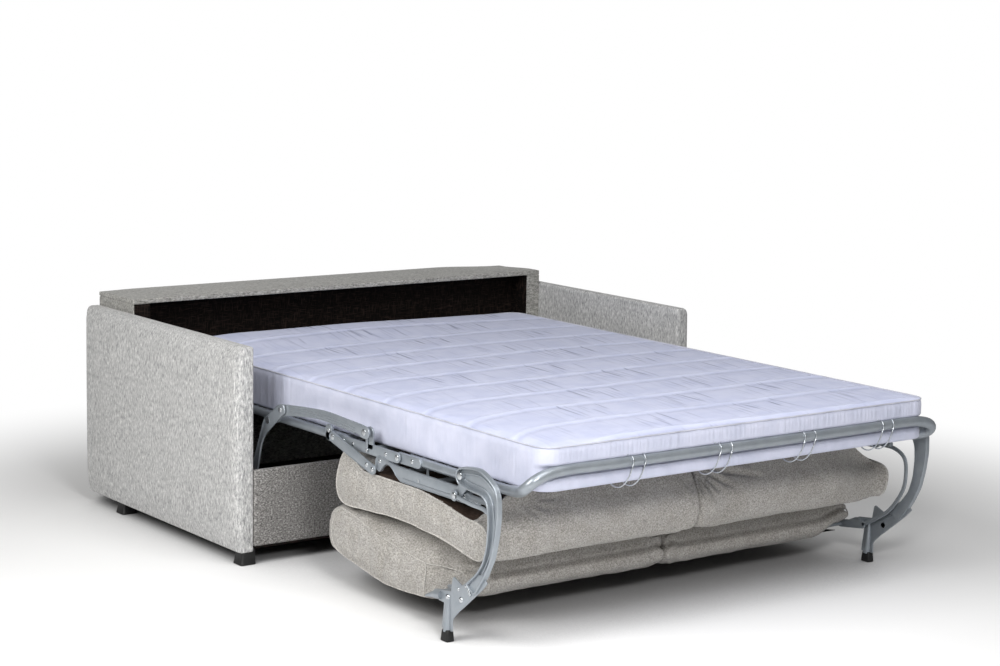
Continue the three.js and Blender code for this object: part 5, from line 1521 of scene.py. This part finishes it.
def shaped_seat(points, normals, sign, depth):
    """Wrinkles, the folds beside the split, the front's upper edge raised behind the bed's end, and the corner drawn in
    at the outer end."""
    x, y, z = np.abs(points[:, 0]), points[:, 1], points[:, 2]
    calm = 1 - 0.6 * smooth_step(x, 0.725, 0.737)
    push = (1.8 * MM * cloth_noise(points, 21 + sign, 0.17) + 0.8 * MM * cloth_noise(points, 31 + sign, 0.055)) * calm
    front = smooth_step(-y, 0.90, 0.97)
    if sign > 0:
        angles, reach = [-1.35, -1.0, -0.72, -0.45, -0.2, 0.02, 0.2], [0.10, 0.12, 0.14, 0.18, 0.30, 0.42, 0.34]
        push += front * folds(points, (0.0, -0.675), angles, reach, 9.0 * MM, 0.0058, (0, unrolled))
    else:
        push += front * folds(points, (-0.60, -0.70), [0.25, 0.0, -0.3, -0.7], [0.14, 0.18, 0.12, 0.10],
            4.0 * MM, 0.007, (0, unrolled))
    hump = np.exp(-(((y + 0.435) / 0.022) ** 2)) * smooth_step(z, 0.35, 0.38)
    push -= hump * 3 * MM * (0.5 + 0.5 * np.sin(points[:, 0] * 110 + z * 160))
    under_felt = smooth_step(z, 0.345, 0.36) * (y < -0.5) * (y > -0.93)
    push = push * (1 - under_felt) * depth
    change = normals * push[:, None]
    far = smooth_step(-y, 0.99, 1.055)
    high = smooth_step(z, 0.21, 0.34)
    outer = smooth_step(x, 0.52, 0.70) * (1 - smooth_step(x, 0.728, 0.7375))
    change[:, 1] += far * outer * (0.024 + 0.034 * high)
    inner_part = 1 - smooth_step(x, 0.60, 0.725)
    change[:, 2] += 0.060 * np.exp(-(((y + 1.002) / 0.042) ** 2)) * smooth_step(z, 0.225, 0.315) * inner_part
    change[:, 1] += 0.012 * far * smooth_step(z, 0.27, 0.33) * inner_part
    return change


BACK_TOP = [
    (-0.95, 0.125), (-0.912, 0.135), (-0.905, 0.160), (-0.850, 0.170), (-0.772, 0.172), (-0.650, 0.185),
        (-0.520, 0.205),
    (-0.410, 0.232), (-0.355, 0.238), (-0.297, 0.172),
]
BACK_CROWN = [
    (-0.95, 0.150), (-0.912, 0.165), (-0.880, 0.200), (-0.850, 0.214), (-0.772, 0.222), (-0.650, 0.232),
        (-0.520, 0.238),
    (-0.410, 0.240), (-0.355, 0.240), (-0.297, 0.172),
]


def shaped_back(points, normals, sign, depth):
    """Wrinkles, upright folds on the side, a top that swells up from the side seam, the far corner drawn in and up,
    and the deep seam along the end that parts the recessed strip from the roll below it."""
    x, y, z = np.abs(points[:, 0]), points[:, 1], points[:, 2]
    push = 1.8 * MM * cloth_noise(points, 51 + sign, 0.14) + 0.9 * MM * cloth_noise(points, 61 + sign, 0.05)
    side = smooth_step(x, 0.70, 0.735)
    for place, width, slant in ((-0.41, 0.010, 0.10), (-0.452, 0.008, 0.22), (-0.50, 0.012, 0.05),
            (-0.575, 0.010, -0.15), (-0.66, 0.013, 0.12)):
        off = (y - place - slant * (z - 0.13)) / width
        push -= side * 3.0 * MM * np.exp(-(off**2)) * smooth_step(z, 0.06, 0.10) * smooth_step(-z, -0.21, -0.18)
    end = smooth_step(-y, 0.85, 0.89)
    push -= end * 10 * MM * np.exp(-(((z - 0.129) / 0.0045) ** 2))
    if sign > 0:
        push += end * folds(points, (0.0, -0.80), [-0.9, -0.5, -0.1, 0.3], [0.06, 0.09, 0.10, 0.08], 2.5 * MM,
            0.004, (0, unrolled))
    change = normals * (push * depth)[:, None]
    change[:, 1] += end * smooth_step(z, 0.126, 0.133) * 0.012
    top, crown = (np.interp(y, *zip(*line)) for line in (BACK_TOP, BACK_CROWN))
    inset = smooth_step(CUSHION_HALF - x, 0.004, 0.085) ** 0.7
    upper = np.clip((z - (top - 0.055)) / 0.05, 0, 1)
    change[:, 2] += (crown - top) * inset * upper
    change[:, 1] += 0.022 * smooth_step(y, -0.42, -0.30)
    outer = smooth_step(x, 0.60, 0.72)
    past = np.clip(-0.772 - y, 0, 0.2)
    change[:, 2] += outer * past * 0.36 * np.clip((0.20 - z) / 0.13, 0, 1)
    drawn = 1.3 * np.minimum(past, 0.04) + 0.35 * np.maximum(past - 0.04, 0)
    change[:, 0] -= np.sign(points[:, 0]) * outer * drawn * (1.0 if sign < 0 else 0.12)
    return change


# Linings under the seat and the backrest


def build_seat_lining():
    low, high = (np.array(v) - [0, SHIFT, 0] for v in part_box("seat_lining"))
    x = np.linspace(low[0], high[0], 150)
    low[1] = max(low[1], -0.945)
    y = np.linspace(low[1], high[1], 60)
    grid = np.zeros((len(y), len(x), 3))
    grid[..., 0], grid[..., 1] = x[None], y[:, None]
    grid[..., 2] = (low[2] + high[2]) / 2 + 0.2 * MM * np.sin(x[None] * 60) * np.sin(y[:, None] * 50)
    shell = Shell()
    shell.grid(grid)
    piece = shell.object("seat_felt", FINISH["felt"], angle=60)
    thick = piece.modifiers.new("felt thickness", "SOLIDIFY")
    thick.thickness, thick.offset = float(high[2] - low[2]) * 0.8, 0
    belongs(piece, "seat", "seat_lining", slot="felt")


def build_back_lining():
    low, high = (np.array(v) - [0, SHIFT, 0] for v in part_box("back_cover_lining"))
    shares = [[-0.907, -0.140], [-0.722, -0.1685], [-0.574, -0.1750], [-0.4114, -0.1717], [-0.185, -0.131]]
    line = spline(placed(shares, BACK_NOSE, BACK_UNIT), 60)
    lift = float(low[2] - line[:, 1].min()) + 0.0008
    x = np.linspace(low[0], high[0], 140)
    grid = np.zeros((len(line), len(x), 3))
    grid[..., 0] = x[None]
    wave = 0.5 * MM * np.sin(x * 31 + 2 * np.sin(x * 9))
    grid[..., 1] = line[:, :1]
    grid[..., 2] = line[:, 1:] + lift + wave[None] * 0.6
    shell = Shell()
    shell.grid(grid)
    piece = shell.object("back_cover_cloth", FINISH["lining"], angle=60)
    thick = piece.modifiers.new("cloth thickness", "SOLIDIFY")
    thick.thickness, thick.offset = 1.2 * MM, 0
    belongs(piece, "backrest", "back_cover_lining", slot="lining")


# Stage, camera and lights


def floor_material():
    """A white studio floor: chalk white, with a painted shadow that makes it greyer where something stands close over
    it, and for the camera fading into plain white away from the sofa."""
    material, tree, shader = blank("studio floor")
    place = node(tree, "ShaderNodeTexCoord").outputs["Object"]
    distance = node(tree, "ShaderNodeVectorMath", {0: place}, operation="LENGTH").outputs["Value"]
    fade = node(tree, "ShaderNodeMapRange", {"Value": distance, "From Min": 1.4, "From Max": 2.8},
        interpolation_type="SMOOTHSTEP")
    seen = node(tree, "ShaderNodeLightPath").outputs["Is Camera Ray"]
    factor = node(tree, "ShaderNodeMath", {0: fade.outputs["Result"], 1: seen}, operation="MULTIPLY").outputs[0]
    plain = node(tree, "ShaderNodeEmission", {"Color": (1, 1, 1, 1), "Strength": 1.0})
    # Painted shadow: the floor's colour turns grey where the sofa stands close over it.
    painted_floor_shadow = node(tree, "ShaderNodeAmbientOcclusion", {"Distance": 0.45}, samples=8).outputs["AO"]
    tree.links.new(shades(tree, painted_floor_shadow, [(0.0, "949495"), (0.3, "c4c4c5"), (0.62, "f0f0f0"), (0.9, "f7f7f7")]),
        shader.inputs["Base Color"])
    shader.inputs["Roughness"].default_value = 0.9
    shader.inputs["Specular IOR Level"].default_value = 0.1
    blend = node(tree, "ShaderNodeMixShader", {0: factor, 1: shader.outputs[0], 2: plain.outputs[0]})
    output = next(n for n in tree.nodes if n.type == "OUTPUT_MATERIAL")
    tree.links.new(blend.outputs[0], output.inputs["Surface"])
    return material


def build_floor():
    shell = Shell()
    spots = np.linspace(-9, 9, 13)
    grid = np.zeros((13, 13, 3))
    grid[..., 0], grid[..., 1] = spots[None], spots[:, None] - SHIFT
    shell.grid(grid)
    floor = shell.object("studio_floor", floor_material())


def area_light(name, place, aim, size, power, colour):
    light = bpy.data.lights.new(name, "AREA")
    light.shape, light.size, light.size_y = "RECTANGLE", size[0], size[1]
    light.energy, light.color = power, linear(colour)[:3]
    lamp = bpy.data.objects.new(name, light)
    bpy.context.scene.collection.objects.link(lamp)
    lamp.location = place
    lamp.rotation_euler = (Vector(aim) - Vector(place)).to_track_quat("-Z", "Y").to_euler()


def build_lights(settings):
    area_light("key light", (-3.6, -0.85, 2.5), (-0.4, -0.3, 0.3), (1.9, 1.9), settings.key_power, "fffefc")
    area_light("top light", (-0.6, -2.3, 3.2), (-0.1, -0.4, 0.4), (2.6, 1.8), settings.top_power, "ffffff")
    area_light("front light", (-1.7, -3.3, 1.9), (-0.4, -1.1, 0.22), (0.7, 0.5), settings.front_power, "fffefd")
    world = bpy.data.worlds.new("studio")
    bpy.context.scene.world = world
    world.use_nodes = True
    tree = world.node_tree
    seen = node(tree, "ShaderNodeLightPath").outputs["Is Camera Ray"]
    tree.nodes["Background"].inputs["Color"].default_value = (1, 1, 1, 1)
    tree.nodes["Background"].inputs["Strength"].default_value = settings.ambient
    plain = node(tree, "ShaderNodeBackground", {"Color": (1, 1, 1, 1), "Strength": 1.0})
    blend = node(tree, "ShaderNodeMixShader", {0: seen, 1: tree.nodes["Background"].outputs[0], 2: plain.outputs[0]})
    tree.links.new(blend.outputs[0], tree.nodes["World Output"].inputs["Surface"])


def build_camera():
    """The photograph's viewpoint: turned, tilted down and rolled by the fitted angles."""
    yaw, pitch, roll = math.radians(36.43), math.radians(8.69), math.radians(1.08)
    forward = Vector((math.sin(yaw) * math.cos(pitch), math.cos(yaw) * math.cos(pitch), -math.sin(pitch)))
    right = Vector((math.cos(yaw), -math.sin(yaw), 0))
    up = right.cross(forward)
    turned_right = right * math.cos(roll) + up * math.sin(roll)
    turned_up = up * math.cos(roll) - right * math.sin(roll)
    data = bpy.data.cameras.new("camera")
    data.sensor_width, data.lens = 36, 36 * 2.225
    data.clip_end = 60
    camera = bpy.data.objects.new("camera", data)
    bpy.context.scene.collection.objects.link(camera)
    turn = Matrix((turned_right, turned_up, -forward)).transposed().to_4x4()
    camera.matrix_world = Matrix.Translation((-4.05, -5.58 + SHIFT, 1.69)) @ turn
    bpy.context.scene.camera = camera
    bpy.context.scene.view_settings.view_transform = "Standard"


# Settings, operators and the panel


class SofaBedSettings(bpy.types.PropertyGroup):
    cloth_relief: bpy.props.FloatProperty(name="Cloth relief",
        description="Depth of the wrinkles in the cushions, as a share", default=1.0, min=0, max=2, subtype="FACTOR")
    quilt_relief: bpy.props.FloatProperty(name="Quilt relief",
        description="Depth of the mattress' quilting, as a share", default=1.0, min=0, max=2, subtype="FACTOR")
    key_power: bpy.props.FloatProperty(name="Key light", description="Power of the light on the left",
        default=104, min=0, unit="POWER")
    top_power: bpy.props.FloatProperty(name="Top light", description="Power of the light overhead", default=60,
        min=0, unit="POWER")
    front_power: bpy.props.FloatProperty(name="Front light", description="Power of the weak light in front",
        default=50, min=0, unit="POWER")
    ambient: bpy.props.FloatProperty(name="Ambient", description="Strength of the even light from all sides",
        default=0.18, min=0, max=2, subtype="FACTOR")


class SOFA_BED_OT_seat_cushions(bpy.types.Operator):
    """Blow up and fold the two seat cushions"""

    bl_idname = "sofa_bed.seat_cushions"
    bl_label = "Seat cushions"

    def execute(self, context):
        settings = context.scene.sofa_bed
        build_seat_cushions(settings.cloth_relief)
        return {"FINISHED"}


class SOFA_BED_OT_back_cushions(bpy.types.Operator):
    """Blow up and fold the two back cushions"""

    bl_idname = "sofa_bed.back_cushions"
    bl_label = "Back cushions"

    def execute(self, context):
        settings = context.scene.sofa_bed
        build_back_cushions(settings.cloth_relief)
        return {"FINISHED"}


class SOFA_BED_OT_arms(bpy.types.Operator):
    """Build the padded arms"""

    bl_idname = "sofa_bed.arms"
    bl_label = "Arms"

    def execute(self, context):
        build_arms()
        return {"FINISHED"}


class SOFA_BED_OT_back_box(bpy.types.Operator):
    """Build the box behind the seat and the cloth inside it"""

    bl_idname = "sofa_bed.back_box"
    bl_label = "Back box"

    def execute(self, context):
        build_back_box()
        build_box_lining()
        return {"FINISHED"}


class SOFA_BED_OT_base(bpy.types.Operator):
    """Build the base, its rails and its feet"""

    bl_idname = "sofa_bed.base"
    bl_label = "Base"

    def execute(self, context):
        build_base()
        return {"FINISHED"}


class SOFA_BED_OT_bed_frame(bpy.types.Operator):
    """Build the four sections of the bed's frame"""

    bl_idname = "sofa_bed.bed_frame"
    bl_label = "Bed frame"

    def execute(self, context):
        build_middle_frame()
        build_head_frame()
        build_link_frame()
        build_foot_frame()
        return {"FINISHED"}


class SOFA_BED_OT_bed_nets(bpy.types.Operator):
    """Build the wire nets that carry the mattress"""

    bl_idname = "sofa_bed.bed_nets"
    bl_label = "Bed nets"

    def execute(self, context):
        build_nets()
        return {"FINISHED"}


class SOFA_BED_OT_swing_arms(bpy.types.Operator):
    """Build the swing arms and their pivot plates"""

    bl_idname = "sofa_bed.swing_arms"
    bl_label = "Swing arms"

    def execute(self, context):
        build_swing_arms()
        return {"FINISHED"}


class SOFA_BED_OT_links(bpy.types.Operator):
    """Build the curved links and the diagonal bars"""

    bl_idname = "sofa_bed.links"
    bl_label = "Links"

    def execute(self, context):
        build_links()
        return {"FINISHED"}


class SOFA_BED_OT_legs(bpy.types.Operator):
    """Build the channel legs with their rubber feet"""

    bl_idname = "sofa_bed.legs"
    bl_label = "Legs"

    def execute(self, context):
        build_legs()
        return {"FINISHED"}


class SOFA_BED_OT_seat_frame(bpy.types.Operator):
    """Build the seat's steel frame and its felt"""

    bl_idname = "sofa_bed.seat_frame"
    bl_label = "Seat frame"

    def execute(self, context):
        build_seat_frame()
        build_seat_lining()
        return {"FINISHED"}


class SOFA_BED_OT_back_frame(bpy.types.Operator):
    """Build the backrest's steel frame and its cover cloth"""

    bl_idname = "sofa_bed.back_frame"
    bl_label = "Back frame"

    def execute(self, context):
        build_back_frame()
        build_back_lining()
        return {"FINISHED"}


class SOFA_BED_OT_clips(bpy.types.Operator):
    """Build the wire clips on the foot tube"""

    bl_idname = "sofa_bed.clips"
    bl_label = "Clips"

    def execute(self, context):
        build_clips()
        return {"FINISHED"}


class SOFA_BED_OT_mattress(bpy.types.Operator):
    """Build the quilted mattress in three lengths"""

    bl_idname = "sofa_bed.mattress"
    bl_label = "Mattress"

    def execute(self, context):
        settings = context.scene.sofa_bed
        build_mattress(settings.quilt_relief)
        return {"FINISHED"}


class SOFA_BED_OT_stage(bpy.types.Operator):
    """Build the white floor, the lights and the camera"""

    bl_idname = "sofa_bed.stage"
    bl_label = "Stage"

    def execute(self, context):
        settings = context.scene.sofa_bed
        build_floor()
        build_lights(settings)
        build_camera()
        return {"FINISHED"}


class SOFA_BED_PT_panel(bpy.types.Panel):
    """Settings and build steps of the sofa bed"""

    bl_label = "Sofa bed"
    bl_idname = "SOFA_BED_PT_panel"
    bl_space_type = "VIEW_3D"
    bl_region_type = "UI"
    bl_category = "Sofa bed"

    def draw(self, context):
        settings = context.scene.sofa_bed
        for key in ("cloth_relief", "quilt_relief", "key_power", "top_power", "front_power", "ambient"):
            self.layout.prop(settings, key)
        for step in STEPS:
            self.layout.operator(step.bl_idname)


STEPS = [
    SOFA_BED_OT_seat_cushions,
    SOFA_BED_OT_back_cushions,
    SOFA_BED_OT_arms,
    SOFA_BED_OT_back_box,
    SOFA_BED_OT_base,
    SOFA_BED_OT_bed_frame,
    SOFA_BED_OT_bed_nets,
    SOFA_BED_OT_swing_arms,
    SOFA_BED_OT_links,
    SOFA_BED_OT_legs,
    SOFA_BED_OT_seat_frame,
    SOFA_BED_OT_back_frame,
    SOFA_BED_OT_clips,
    SOFA_BED_OT_mattress,
    SOFA_BED_OT_stage,
]
CLASSES = [SofaBedSettings, *STEPS, SOFA_BED_PT_panel]


def register():
    for entry in CLASSES:
        bpy.utils.register_class(entry)
    bpy.types.Scene.sofa_bed = bpy.props.PointerProperty(type=SofaBedSettings)


def unregister():
    del bpy.types.Scene.sofa_bed
    for entry in reversed(CLASSES):
        bpy.utils.unregister_class(entry)


def main():
    register()
    for step in STEPS:
        getattr(bpy.ops.sofa_bed, step.bl_idname.split(".")[1])()


if __name__ == "__main__":
    main()
